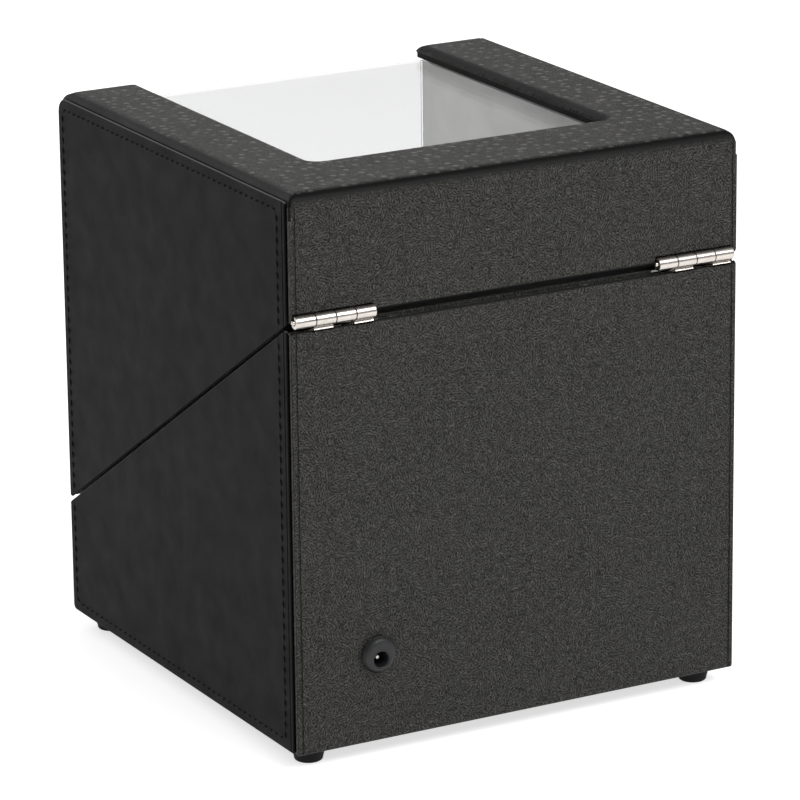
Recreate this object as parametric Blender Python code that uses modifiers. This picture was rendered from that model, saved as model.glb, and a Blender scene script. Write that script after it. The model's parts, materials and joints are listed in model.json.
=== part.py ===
"""A cube-shaped watch winder box with a lid that is split from its base on a slant.

Units are metres, +Z is up, the front faces -Y, and the origin is on the surface that the box stands on.
The left side is the -X side, as seen by a person who faces the front.
"""

import math

import bmesh
import bpy
from mathutils import Matrix, Vector

MM = 0.001

# Outer size. The rear jack stands proud of the back, so the walls are set forward by half of that.
BOX_WIDTH = 178 * MM
BOX_DEPTH = 180 * MM
BOX_HEIGHT = 200 * MM
FOOT_HEIGHT = 6 * MM
REAR_PROUD = 3 * MM
BACK = BOX_DEPTH / 2 - REAR_PROUD / 2
FRONT = BACK - BOX_DEPTH
SIDE = BOX_WIDTH / 2
FLOOR = FOOT_HEIGHT
TOP = FOOT_HEIGHT + BOX_HEIGHT

# The slanted plane between base and lid, and the gap left on each side of it.
SLANT = math.radians(32)
SPLIT_BACK = FLOOR + 155.5 * MM
SPLIT_GAP = 0.6 * MM
BACK_SPLIT_GAP = 1.9 * MM
GAP = 0.3 * MM

# Boards and leather.
WALL = 9 * MM
BASE_SIDE_WALL = 12 * MM
LEATHER = 1 * MM
BOARD_SIDE = SIDE - LEATHER - GAP
WRAP_SIDE = SIDE - GAP
PANEL_BACK_INSET = 2.7 * MM
CORNER_LIP = 1.3 * MM
PANEL_TOP_DROP = 2.8 * MM
EDGE_ROUND = 1.5 * MM

# Lid window.
WINDOW_HALF = 59.2 * MM
WINDOW_BACK = BACK - 38 * MM
TOP_BOARD = 10 * MM
TOP_LIP = 3.3 * MM
TOP_ROUND = 4.7 * MM
LIP_ROUND = 3 * MM
WINDOW_CORNER = 4 * MM
RABBET = 5 * MM
PANE = 2.7 * MM
FRONT_PANE = 2.4 * MM
RAIL = 2.2 * MM
RAIL_WIDTH = 2 * MM
LINER_INNER = 62.2 * MM
LINER = 2 * MM
FRONT_RAIL_HEIGHT = 30 * MM
SILL = 5 * MM

# Deck and turntable, measured along the slanted frame's normal from the split plane.
DECK_TOP = -2 * MM
DECK_THICK = 5 * MM
DECK_HOLE = 57.7 * MM
RING_OUTER = 60.5 * MM
DRUM_RADIUS = 56.5 * MM
DRUM_TOP = -0.3 * MM
DRUM_BOTTOM = -22 * MM
POCKET_FLOOR = -20 * MM
POCKET_LENGTH = 74 * MM
POCKET_WIDTH = 36 * MM
POCKET_CORNER = 6 * MM
POCKET_OFFSET = 20 * MM
CUSHION_SIZE = (33 * MM, 64 * MM, 42 * MM)
CUSHION_BOTTOM = -19 * MM
HUB_RADIUS = 8 * MM
HUB_BOTTOM = -25 * MM
SHAFT_RADIUS = 3 * MM
SHAFT_BOTTOM = -41 * MM

# Gear train: a spur gear on the turntable's shaft and a pinion on the motor's.
GEAR_MODULE = 1 * MM
GEAR_TEETH = 48
PINION_TEETH = 12
GEAR_BOTTOM = -31 * MM
GEAR_THICK = 5 * MM
GEAR_CENTRES = GEAR_MODULE * (GEAR_TEETH + PINION_TEETH) / 2 + 0.15 * MM
MOTOR_SHAFT_RADIUS = 1.5 * MM

# Motor bracket, a bent sheet that hangs under the deck.
BRACKET_SHEET = 2 * MM
BRACKET_TOP = -35 * MM
BRACKET_HALF = 64.5 * MM
BRACKET_FOOT = 73 * MM
BRACKET_LENGTH = 50 * MM
BUSH_RADIUS = 5.5 * MM
BUSH_FLANGE = 8 * MM
GEARBOX_RADIUS = 15 * MM
GEARBOX_HEIGHT = 10 * MM
MOTOR_RADIUS = 12 * MM
MOTOR_HEIGHT = 20 * MM

# Controls on the deck: each is this far from the middle, along X and along the slope.
CONTROL_X = 45 * MM
CONTROL_DOWN = 72 * MM
KNOB_RADIUS = 7 * MM
KNOB_HEIGHT = 9 * MM
KNOB_SHAFT = 2.6 * MM
BUTTON_RADIUS = 3.9 * MM
BUTTON_BORE = 4.2 * MM
BUTTON_BARREL = 5.5 * MM
BUTTON_FLANGE = 7.2 * MM

# Hinges.
HINGE_Y = BACK + 0.7 * MM
HINGE_X = 71.6 * MM
HINGE_SHIFT = 0.9 * MM
HINGE_LENGTH = 30.6 * MM
KNUCKLES = 4
KNUCKLE_RADIUS = 2.3 * MM
KNUCKLE_BORE = 1.1 * MM
HINGE_PIN = 0.8 * MM
PIN_HEAD = 0.9 * MM
LEAF_SHEET = 0.8 * MM
LEAF_REACH = 8.6 * MM
LEAF_NECK = 2.9 * MM

# Power jack on the back.
JACK_X = 57 * MM
JACK_Z = FLOOR + 31 * MM
JACK_BORE = 3 * MM
JACK_BARREL = 5.3 * MM
JACK_DEPTH = 14 * MM
JACK_BORE_DEPTH = 9.7 * MM
JACK_FLANGE = 6.5 * MM
JACK_FLANGE_RISE = 1.5 * MM
JACK_PIN = 1 * MM
JACK_PIN_RECESS = 0

# Feet, felt and floor board.
FOOT_INSET_X = 10.2 * MM
FOOT_INSET_Y = 11.2 * MM
FOOT_TOP_RADIUS = 6 * MM
FOOT_LOW_RADIUS = 5 * MM
SCREW_RADIUS = 1.3 * MM
SCREW_HOLE = 1.7 * MM
SCREW_HEAD = 2.6 * MM
FELT = 0.6 * MM
FELT_INSET = 4 * MM
FLOOR_BOARD_LOW = FLOOR + 1 * MM
FLOOR_BOARD = 7 * MM

# Circuit board on its four posts, and the inner leads.
BOARD_LOW = (15 * MM, -20 * MM)
BOARD_HIGH = (65 * MM, 20 * MM)
BOARD_Z = FLOOR_BOARD_LOW + FLOOR_BOARD + 4 * MM
BOARD_SHEET = 1.6 * MM
LEAD_RADIUS = 1.1 * MM

# Magnet in the base's front wall and catch plate in the lid's.
CATCH_RADIUS = 2.9 * MM
CATCH_DEPTH = 2.4 * MM


def split_z(y):
    """Height of the slanted split plane at a depth y."""
    return SPLIT_BACK + (y - BACK) * math.tan(SLANT)


def below_split(y, normal_distance):
    """Height at y of the plane that lies that far under the split plane, square to it."""
    return split_z(y) - normal_distance / math.cos(SLANT)


CENTRE_Y = (BACK + FRONT) / 2
CENTRE_Z = split_z(CENTRE_Y)


def up_slope(y):
    """Distance along the slope from the turntable's centre to the split plane's point at a depth y."""
    return (y - CENTRE_Y) / math.cos(SLANT)


# ---------------------------------------------------------------- scene and materials

for old in list(bpy.data.objects):
    bpy.data.objects.remove(old, do_unlink=True)

parts = bpy.data.collections.new("watch_winder_box")
cutters = bpy.data.collections.new("cutters")
bpy.context.scene.collection.children.link(parts)
bpy.context.scene.collection.children.link(cutters)


def finish(name, colour, roughness, metallic=0.0, transmission=0.0):
    made = bpy.data.materials.new(name)
    made.use_nodes = True
    shader = made.node_tree.nodes["Principled BSDF"]
    shader.inputs["Base Color"].default_value = (*colour, 1.0)
    shader.inputs["Roughness"].default_value = roughness
    shader.inputs["Metallic"].default_value = metallic
    shader.inputs["Transmission Weight"].default_value = transmission
    return made


TEXTURED_LEATHER = finish("textured_leather", (0.045, 0.045, 0.042), 0.5)
SMOOTH_LEATHER = finish("smooth_leather", (0.025, 0.025, 0.025), 0.55)
GREY_LINING = finish("grey_lining", (0.45, 0.45, 0.44), 0.9)
CUSHION_CLOTH = finish("cushion_cloth", (0.5, 0.5, 0.48), 0.95)
ACRYLIC = finish("acrylic", (0.95, 0.95, 0.95), 0.03, transmission=1.0)
BLACK_PLASTIC = finish("black_plastic", (0.02, 0.02, 0.02), 0.4)
WHITE_PLASTIC = finish("white_plastic", (0.7, 0.7, 0.68), 0.45)
NICKEL = finish("nickel", (0.75, 0.73, 0.7), 0.2, metallic=1.0)
STEEL = finish("steel", (0.5, 0.5, 0.5), 0.35, metallic=1.0)
BRASS = finish("brass", (0.7, 0.5, 0.2), 0.35, metallic=1.0)
RUBBER = finish("rubber", (0.02, 0.02, 0.02), 0.8)
FELT_CLOTH = finish("felt", (0.02, 0.02, 0.02), 1.0)
CIRCUIT = finish("circuit_green", (0.03, 0.15, 0.06), 0.4)
CABLE = finish("cable", (0.03, 0.03, 0.03), 0.5)


# ---------------------------------------------------------------- frames that parts are placed in


def empty(name, location, rotation=(0, 0, 0), parent=None):
    made = bpy.data.objects.new(name, None)
    parts.objects.link(made)
    made.location = location
    made.rotation_euler = rotation
    made.parent = parent
    return made


slant_frame = empty("slant_frame", (0, CENTRE_Y, CENTRE_Z), (SLANT, 0, 0))
turntable_axis = empty("turntable_axis", (0, 0, 0), parent=slant_frame)
motor_axis = empty("motor_axis", (-GEAR_CENTRES, 0, 0), parent=slant_frame)
knob_axis = empty("knob_axis", (CONTROL_X, -CONTROL_DOWN, 0), parent=slant_frame)
button_axis = empty("button_axis", (-CONTROL_X, -CONTROL_DOWN, 0), parent=slant_frame)
hinge_axis = empty("hinge_axis", (0, up_slope(HINGE_Y), 0), parent=slant_frame)
TO_BACK = (math.radians(-90), 0, 0)
jack_axis = empty("jack_axis", (JACK_X, BACK, JACK_Z), TO_BACK)


# ---------------------------------------------------------------- shape tools


def add(name, mesh, material, parent=None, location=(0, 0, 0), rotation=(0, 0, 0)):
    made = bpy.data.objects.new(name, mesh)
    parts.objects.link(made)
    made.parent = parent
    made.location = location
    made.rotation_euler = rotation
    mesh.materials.clear()
    mesh.materials.append(material)
    return made


def add_cutter(name, mesh, parent=None, location=(0, 0, 0), rotation=(0, 0, 0)):
    made = bpy.data.objects.new(name, mesh)
    cutters.objects.link(made)
    made.parent = parent
    made.location = location
    made.rotation_euler = rotation
    made.hide_render = True
    made.display_type = "WIRE"
    return made


def box_mesh(low, high):
    size = [b - a for a, b in zip(low, high)]
    middle = [(a + b) / 2 for a, b in zip(low, high)]
    shape = bmesh.new()
    bmesh.ops.create_cube(shape, size=1.0)
    bmesh.ops.scale(shape, vec=size, verts=shape.verts)
    bmesh.ops.translate(shape, vec=middle, verts=shape.verts)
    mesh = bpy.data.meshes.new("box")
    shape.to_mesh(mesh)
    shape.free()
    return mesh


def cylinder_mesh(radius, low, high, sides=32, x=0.0, y=0.0):
    """A cylinder round the local Z axis moved to x, y, from z = low to z = high."""
    shape = bmesh.new()
    bmesh.ops.create_cone(
        shape, cap_ends=True, segments=sides, radius1=radius, radius2=radius, depth=high - low
    )
    bmesh.ops.translate(shape, vec=(x, y, (low + high) / 2), verts=shape.verts)
    mesh = bpy.data.meshes.new("cylinder")
    shape.to_mesh(mesh)
    shape.free()
    mesh.shade_smooth()
    mesh.set_sharp_from_angle(angle=math.radians(35))
    return mesh


def along_x(mesh):
    """Turns a mesh round the local Z axis into one round the local X axis."""
    mesh.transform(Matrix.Rotation(math.radians(90), 4, "Y"))
    return mesh


def plate_mesh(outlines, thickness):
    """A flat plate from z = 0 up. The first outline is its edge, and any others are holes."""
    curve = bpy.data.curves.new("outline", "CURVE")
    curve.dimensions = "2D"
    curve.fill_mode = "BOTH"
    curve.extrude = thickness / 2
    for outline in outlines:
        spline = curve.splines.new("POLY")
        spline.points.add(len(outline) - 1)
        for point, (x, y) in zip(spline.points, outline):
            point.co = (x, y, 0, 1)
        spline.use_cyclic_u = True
    guide = bpy.data.objects.new("outline", curve)
    bpy.context.scene.collection.objects.link(guide)
    graph = bpy.context.evaluated_depsgraph_get()
    mesh = bpy.data.meshes.new_from_object(guide.evaluated_get(graph))
    bpy.data.objects.remove(guide)
    shape = bmesh.new()
    shape.from_mesh(mesh)
    bmesh.ops.remove_doubles(shape, verts=shape.verts, dist=1e-6)
    bmesh.ops.dissolve_limit(shape, angle_limit=0.001, verts=shape.verts, edges=shape.edges)
    bmesh.ops.translate(shape, vec=(0, 0, thickness / 2), verts=shape.verts)
    bmesh.ops.recalc_face_normals(shape, faces=shape.faces)
    shape.to_mesh(mesh)
    shape.free()
    return mesh


def rounded(corners, radii, steps=4):
    """The outline through these corners, each turned into an arc of its radius."""
    outline = []
    count = len(corners)
    for i, (corner, radius) in enumerate(zip(corners, radii)):
        here = Vector(corner)
        to_last = (Vector(corners[i - 1]) - here).normalized()
        to_next = (Vector(corners[(i + 1) % count]) - here).normalized()
        if radius == 0:
            outline.append(tuple(here))
            continue
        half = to_last.angle(to_next) / 2
        reach = radius / math.tan(half)
        centre = here + (to_last + to_next).normalized() * (radius / math.sin(half))
        start = here + to_last * reach - centre
        end = here + to_next * reach - centre
        sweep = start.angle_signed(end)
        for step in range(steps + 1):
            turn = Matrix.Rotation(-sweep * step / steps, 2)
            outline.append(tuple(centre + turn @ start))
    return outline


def circle(radius, sides=32, x=0.0, y=0.0):
    turns = [2 * math.pi * i / sides for i in range(sides)]
    return [(x + radius * math.cos(a), y + radius * math.sin(a)) for a in turns]


def upright_plate(name, outline, low, high, material):
    """A plate whose outline is drawn in (y, z), and which runs from x = low to x = high."""
    turn = (math.radians(90), 0, math.radians(90))
    mesh = plate_mesh([outline], high - low)
    return add(name, mesh, material, location=(low, 0, 0), rotation=turn)


def turned_mesh(profile, steps=32):
    """A solid turned round Z from a profile of (radius, height), listed from its top to its bottom."""
    shape = bmesh.new()
    points = [shape.verts.new((radius, 0, height)) for radius, height in profile]
    for first, second in zip(points, points[1:]):
        shape.edges.new((first, second))
    mesh = bpy.data.meshes.new("turned")
    shape.to_mesh(mesh)
    shape.free()
    return mesh


def turned(name, profile, material, steps=32, **place):
    made = add(name, turned_mesh(profile), material, **place)
    screw = made.modifiers.new("turn", "SCREW")
    screw.steps = steps
    screw.render_steps = steps
    screw.use_merge_vertices = True
    screw.merge_threshold = 1e-6
    screw.use_smooth_shade = True
    screw.use_normal_calculate = False
    return made


def bevel(obj, width, segments=2, angle=30):
    made = obj.modifiers.new("round_edges", "BEVEL")
    made.width = width
    made.segments = segments
    made.limit_method = "ANGLE"
    made.angle_limit = math.radians(angle)
    return made


def cut(obj, *tools):
    for tool in tools:
        made = obj.modifiers.new("cut", "BOOLEAN")
        made.operation = "DIFFERENCE"
        made.solver = "EXACT"
        made.object = tool


def join(obj, *others):
    for other in others:
        made = obj.modifiers.new("join", "BOOLEAN")
        made.operation = "UNION"
        made.solver = "EXACT"
        made.object = other


def sides():
    """(name, sign) of the left and right side."""
    return (("left", -1), ("right", 1))


def spread(sign, inner, outer):
    """(low, high) in x of a piece between two distances from the middle, on one side."""
    return (inner, outer) if sign > 0 else (-outer, -inner)


# ---------------------------------------------------------------- base carcass

JACK_HOLE = add_cutter(
    "jack_hole", cylinder_mesh(JACK_BARREL + GAP, -2 * WALL, WALL), parent=jack_axis
)


def panel_bed(name, sign):
    """The shallow bed in the boards' outer sides that a side's leather panel lies in."""
    low, high = spread(sign, BOARD_SIDE, BOX_WIDTH)
    top = TOP - PANEL_TOP_DROP + GAP
    mesh = box_mesh((low, 2 * FRONT, -BOX_HEIGHT), (high, BACK - CORNER_LIP, top))
    return add_cutter(name, mesh)


PANEL_BEDS = [panel_bed(f"panel_bed_{side}", sign) for side, sign in sides()]


def hinge_recess(name, sign, lower):
    """The space that one hinge leaf and the barrel need in a wall's slanted edge."""
    half = HINGE_LENGTH / 2 + GAP
    depth = KNUCKLE_RADIUS + GAP
    span = (-depth, WALL) if lower else (-WALL, depth)
    centre = sign * HINGE_X + HINGE_SHIFT
    low = (centre - half, -LEAF_REACH - GAP, span[0])
    high = (centre + half, WALL, span[1])
    slot = add_cutter(name + "_slot", box_mesh(low, high), parent=hinge_axis)
    barrel = cylinder_mesh(KNUCKLE_RADIUS + 0.4 * MM, -half, half, sides=24)
    round_slot = add_cutter(
        name + "_round", along_x(barrel), parent=hinge_axis, location=(centre, 0, 0)
    )
    return slot, round_slot


def foot_places():
    for y_name, y in (("front", FRONT + FOOT_INSET_Y), ("back", BACK - FOOT_INSET_Y)):
        for x_name, sign in sides():
            yield f"{y_name}_{x_name}", sign, sign * (SIDE - FOOT_INSET_X), y


def base_carcass():
    back = upright_plate(
        "base_back_board",
        [
            (BACK - WALL, FLOOR),
            (BACK, FLOOR),
            (BACK, below_split(BACK, BACK_SPLIT_GAP)),
            (BACK - WALL, below_split(BACK - WALL, BACK_SPLIT_GAP)),
        ],
        -WRAP_SIDE,
        WRAP_SIDE,
        TEXTURED_LEATHER,
    )
    bevel(back, EDGE_ROUND)
    cut(back, *PANEL_BEDS)
    for side, sign in sides():
        cut(back, *hinge_recess(f"base_hinge_{side}", sign, True))
    cut(back, JACK_HOLE)

    inner_front = FRONT + WALL
    front = upright_plate(
        "base_front_board",
        [
            (FRONT, FLOOR),
            (inner_front, FLOOR),
            (inner_front, below_split(inner_front, SPLIT_GAP)),
            (FRONT, below_split(FRONT, SPLIT_GAP)),
        ],
        -BOARD_SIDE,
        BOARD_SIDE,
        TEXTURED_LEATHER,
    )
    bevel(front, EDGE_ROUND)
    cut(front, catch_hole("magnet_hole", -SPLIT_GAP - CATCH_DEPTH - GAP, WALL))

    for side, sign in sides():
        low, high = spread(sign, BOARD_SIDE - BASE_SIDE_WALL, BOARD_SIDE)
        start = inner_front + GAP
        end = BACK - WALL - GAP
        board = upright_plate(
            f"base_side_board_{side}",
            [
                (start, FLOOR),
                (end, FLOOR),
                (end, below_split(end, SPLIT_GAP)),
                (start, below_split(start, SPLIT_GAP)),
            ],
            low,
            high,
            TEXTURED_LEATHER,
        )
        for place, place_sign, x, y in foot_places():
            if place_sign == sign:
                hole = cylinder_mesh(SCREW_HOLE, -MM, 12 * MM, sides=16)
                cut(board, add_cutter(f"screw_hole_{place}", hole, location=(x, y, FLOOR)))

        low, high = spread(sign, SIDE - LEATHER, SIDE)
        start = FRONT + GAP
        end = BACK - PANEL_BACK_INSET
        panel = upright_plate(
            f"base_side_panel_{side}",
            rounded(
                [
                    (start, FLOOR + GAP),
                    (end, FLOOR + GAP),
                    (end, below_split(end, SPLIT_GAP)),
                    (start, below_split(start, SPLIT_GAP)),
                ],
                [2 * MM, MM, MM, MM],
                steps=3,
            ),
            low,
            high,
            SMOOTH_LEATHER,
        )
        bevel(panel, 0.4 * MM, segments=1)


def floor_and_feet():
    inset = WALL + GAP
    reach = BOARD_SIDE - BASE_SIDE_WALL - GAP
    low = (-reach, FRONT + inset, FLOOR_BOARD_LOW)
    high = (reach, BACK - inset, FLOOR_BOARD_LOW + FLOOR_BOARD)
    add("base_floor_board", box_mesh(low, high), GREY_LINING)

    felt_reach = SIDE - FELT_INSET
    felt_top = FLOOR - GAP
    low = (-felt_reach, FRONT + FELT_INSET, felt_top - FELT)
    high = (felt_reach, BACK - FELT_INSET, felt_top)
    felt = add("bottom_felt", box_mesh(low, high), FELT_CLOTH)

    foot_top = felt_top - FELT - GAP
    recess = 3.2 * MM
    head = 1.6 * MM
    for place, _, x, y in foot_places():
        hole = cylinder_mesh(SCREW_HOLE, -3 * MM, 3 * MM, sides=16)
        cut(felt, add_cutter(f"felt_hole_{place}", hole, location=(x, y, FLOOR)))
        turned(
            f"foot_{place}",
            [
                (SCREW_HOLE, foot_top),
                (FOOT_TOP_RADIUS, foot_top),
                (FOOT_TOP_RADIUS - 0.1 * MM, foot_top - MM),
                (FOOT_LOW_RADIUS, MM),
                (FOOT_LOW_RADIUS - 0.3 * MM, 0.3 * MM),
                (FOOT_LOW_RADIUS - MM, 0),
                (SCREW_HEAD + 0.4 * MM, 0),
                (SCREW_HEAD + 0.4 * MM, recess),
                (SCREW_HOLE, recess),
                (SCREW_HOLE, foot_top),
            ],
            RUBBER,
            steps=28,
            location=(x, y, 0),
        )
        turned(
            f"foot_screw_{place}",
            [
                (0, FLOOR + 11 * MM),
                (SCREW_RADIUS * 0.4, FLOOR + 10.4 * MM),
                (SCREW_RADIUS, FLOOR + 8 * MM),
                (SCREW_RADIUS, recess - GAP),
                (SCREW_HEAD, recess - GAP),
                (SCREW_HEAD, recess - GAP - head * 0.6),
                (SCREW_HEAD * 0.7, recess - GAP - head),
                (0, recess - GAP - head),
            ],
            STEEL,
            steps=16,
            location=(x, y, 0),
        )


def catch_hole(name, low, high):
    """A round hole square to the split plane, in the middle of the front wall."""
    slope = up_slope(FRONT + WALL / 2)
    hole = cylinder_mesh(CATCH_RADIUS + GAP, low, high, sides=24)
    return add_cutter(name, hole, parent=slant_frame, location=(0, slope, 0))


def catch():
    slope = up_slope(FRONT + WALL / 2)
    magnet = cylinder_mesh(CATCH_RADIUS, -SPLIT_GAP - CATCH_DEPTH, -SPLIT_GAP, sides=24)
    add("catch_magnet", magnet, NICKEL, parent=slant_frame, location=(0, slope, 0))
    plate = cylinder_mesh(CATCH_RADIUS, SPLIT_GAP, SPLIT_GAP + CATCH_DEPTH, sides=24)
    add("catch_plate", plate, NICKEL, parent=slant_frame, location=(0, slope, 0))


# ---------------------------------------------------------------- deck, turntable and drive


def deck():
    start = FRONT + WALL + GAP
    end = BACK - WALL - GAP
    reach = BOARD_SIDE - BASE_SIDE_WALL - GAP
    board = upright_plate(
        "deck_board",
        [
            (start, below_split(start, DECK_THICK - DECK_TOP)),
            (end, below_split(end, DECK_THICK - DECK_TOP)),
            (end, below_split(end, -DECK_TOP)),
            (start, below_split(start, -DECK_TOP)),
        ],
        -reach,
        reach,
        GREY_LINING,
    )
    deep = 20 * MM
    hole = cylinder_mesh(DECK_HOLE, -deep, deep, sides=96)
    cut(board, add_cutter("turntable_hole", hole, parent=turntable_axis))
    hole = cylinder_mesh(KNOB_SHAFT + 0.5 * MM, -deep, deep, sides=24)
    cut(board, add_cutter("knob_hole", hole, parent=knob_axis))
    hole = cylinder_mesh(BUTTON_BARREL + GAP, -deep, deep, sides=32)
    cut(board, add_cutter("button_hole", hole, parent=button_axis))
    inner = DECK_HOLE - 0.4 * MM
    turned(
        "turntable_ring",
        [
            (inner, DECK_TOP + 1.2 * MM),
            (inner + 0.6 * MM, DECK_TOP + 1.8 * MM),
            (RING_OUTER - 0.6 * MM, DECK_TOP + 1.8 * MM),
            (RING_OUTER, DECK_TOP + 1.2 * MM),
            (RING_OUTER, DECK_TOP + GAP),
            (inner, DECK_TOP + GAP),
            (inner, DECK_TOP + 1.2 * MM),
        ],
        BLACK_PLASTIC,
        steps=96,
        parent=turntable_axis,
    )


def pocket_cutter(name, sign):
    inner = POCKET_OFFSET - POCKET_WIDTH / 2
    outer = POCKET_OFFSET + POCKET_WIDTH / 2
    half = POCKET_LENGTH / 2
    corners = [(inner, -half), (outer, -half), (outer, half), (inner, half)]
    mesh = plate_mesh([rounded(corners, [POCKET_CORNER] * 4)], 40 * MM)
    turn = (0, 0, 0) if sign > 0 else (0, 0, math.radians(180))
    place = (0, 0, POCKET_FLOOR)
    return add_cutter(name, mesh, parent=turntable_axis, location=place, rotation=turn)


def turntable():
    edge = 0.8 * MM
    drum = turned(
        "turntable_drum",
        [
            (0, DRUM_TOP),
            (DRUM_RADIUS - edge, DRUM_TOP),
            (DRUM_RADIUS, DRUM_TOP - edge),
            (DRUM_RADIUS, DRUM_BOTTOM),
            (HUB_RADIUS, DRUM_BOTTOM),
            (HUB_RADIUS, HUB_BOTTOM),
            (SHAFT_RADIUS + GAP, HUB_BOTTOM),
            (SHAFT_RADIUS + GAP, DRUM_BOTTOM),
            (0, DRUM_BOTTOM),
        ],
        GREY_LINING,
        steps=96,
        parent=turntable_axis,
    )
    for side, sign in sides():
        cut(drum, pocket_cutter(f"pocket_{side}", sign))
        low = [-c / 2 for c in CUSHION_SIZE]
        high = [c / 2 for c in CUSHION_SIZE]
        place = (sign * POCKET_OFFSET, 0, CUSHION_BOTTOM + CUSHION_SIZE[2] / 2)
        cushion = add(
            f"watch_cushion_{side}",
            box_mesh(low, high),
            CUSHION_CLOTH,
            parent=turntable_axis,
            location=place,
        )
        bevel(cushion, 9 * MM, segments=3)

    shaft = cylinder_mesh(SHAFT_RADIUS, SHAFT_BOTTOM, DRUM_BOTTOM - GAP, sides=32)
    add("turntable_shaft", shaft, STEEL, parent=turntable_axis)


def gear_outline(teeth, turn):
    """A spur gear's outline, with straight-sided teeth that are thinned for running clearance."""
    pitch = GEAR_MODULE * teeth / 2
    step = 2 * math.pi / teeth
    levels = (
        (pitch - 1.25 * GEAR_MODULE, 0.30),
        (pitch - 0.2 * GEAR_MODULE, 0.235),
        (pitch + 0.9 * GEAR_MODULE, 0.11),
    )
    outline = []
    for tooth in range(teeth):
        middle = turn + tooth * step
        flank = [(radius, -share) for radius, share in levels]
        flank += [(radius, share) for radius, share in reversed(levels)]
        for radius, share in flank:
            angle = middle + share * step
            outline.append((radius * math.cos(angle), radius * math.sin(angle)))
    return outline


def gears():
    wheel = plate_mesh([gear_outline(GEAR_TEETH, 0), circle(SHAFT_RADIUS + GAP)], GEAR_THICK)
    add("drive_gear", wheel, WHITE_PLASTIC, parent=turntable_axis, location=(0, 0, GEAR_BOTTOM))
    half_tooth = math.pi / PINION_TEETH
    bore = circle(MOTOR_SHAFT_RADIUS + GAP, sides=20)
    pinion = plate_mesh([gear_outline(PINION_TEETH, half_tooth), bore], GEAR_THICK + MM)
    place = (0, 0, GEAR_BOTTOM - MM / 2)
    add("motor_pinion", pinion, BRASS, parent=motor_axis, location=place)
    bottom = BRACKET_TOP - BRACKET_SHEET - 7 * MM
    shaft = cylinder_mesh(MOTOR_SHAFT_RADIUS, bottom, GEAR_BOTTOM + GEAR_THICK + MM, sides=20)
    add("motor_shaft", shaft, STEEL, parent=motor_axis)


def drive():
    sheet = BRACKET_SHEET
    bottom = BRACKET_TOP - sheet
    foot = DECK_TOP - DECK_THICK - GAP
    half = BRACKET_HALF
    right_side = [
        (half, bottom),
        (half, foot - sheet),
        (BRACKET_FOOT, foot - sheet),
        (BRACKET_FOOT, foot),
        (half - sheet, foot),
        (half - sheet, BRACKET_TOP),
    ]
    left_side = [(-x, z) for x, z in reversed(right_side)]
    mesh = plate_mesh([right_side + left_side], BRACKET_LENGTH)
    bracket = add(
        "motor_bracket",
        mesh,
        STEEL,
        parent=slant_frame,
        location=(0, BRACKET_LENGTH / 2, 0),
        rotation=(math.radians(90), 0, 0),
    )
    hole = cylinder_mesh(BUSH_RADIUS + GAP, 2 * BRACKET_TOP, 0, sides=32)
    cut(bracket, add_cutter("bush_hole", hole, parent=turntable_axis))
    hole = cylinder_mesh(4 * MM, 2 * BRACKET_TOP, 0, sides=24)
    cut(bracket, add_cutter("motor_shaft_hole", hole, parent=motor_axis))

    inner = SHAFT_RADIUS + GAP
    flange_top = BRACKET_TOP + 2.3 * MM
    turned(
        "turntable_bush",
        [
            (inner, flange_top),
            (BUSH_FLANGE, flange_top),
            (BUSH_FLANGE, BRACKET_TOP + GAP),
            (BUSH_RADIUS, BRACKET_TOP + GAP),
            (BUSH_RADIUS, bottom - 2 * MM),
            (inner, bottom - 2 * MM),
            (inner, flange_top),
        ],
        BRASS,
        steps=32,
        parent=turntable_axis,
    )
    gearbox_top = bottom - GAP
    gearbox_bottom = gearbox_top - GEARBOX_HEIGHT
    motor_bottom = gearbox_bottom - MOTOR_HEIGHT
    bore = MOTOR_SHAFT_RADIUS + GAP
    bore_end = bottom - 7.6 * MM
    turned(
        "gear_motor",
        [
            (bore, gearbox_top),
            (GEARBOX_RADIUS - 0.5 * MM, gearbox_top),
            (GEARBOX_RADIUS, gearbox_top - 0.5 * MM),
            (GEARBOX_RADIUS, gearbox_bottom),
            (MOTOR_RADIUS, gearbox_bottom),
            (MOTOR_RADIUS, motor_bottom + MM),
            (MOTOR_RADIUS - MM, motor_bottom),
            (0, motor_bottom),
            (0, bore_end),
            (bore, bore_end),
            (bore, gearbox_top),
        ],
        STEEL,
        steps=36,
        parent=motor_axis,
    )
    return motor_bottom


# ---------------------------------------------------------------- controls


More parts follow.
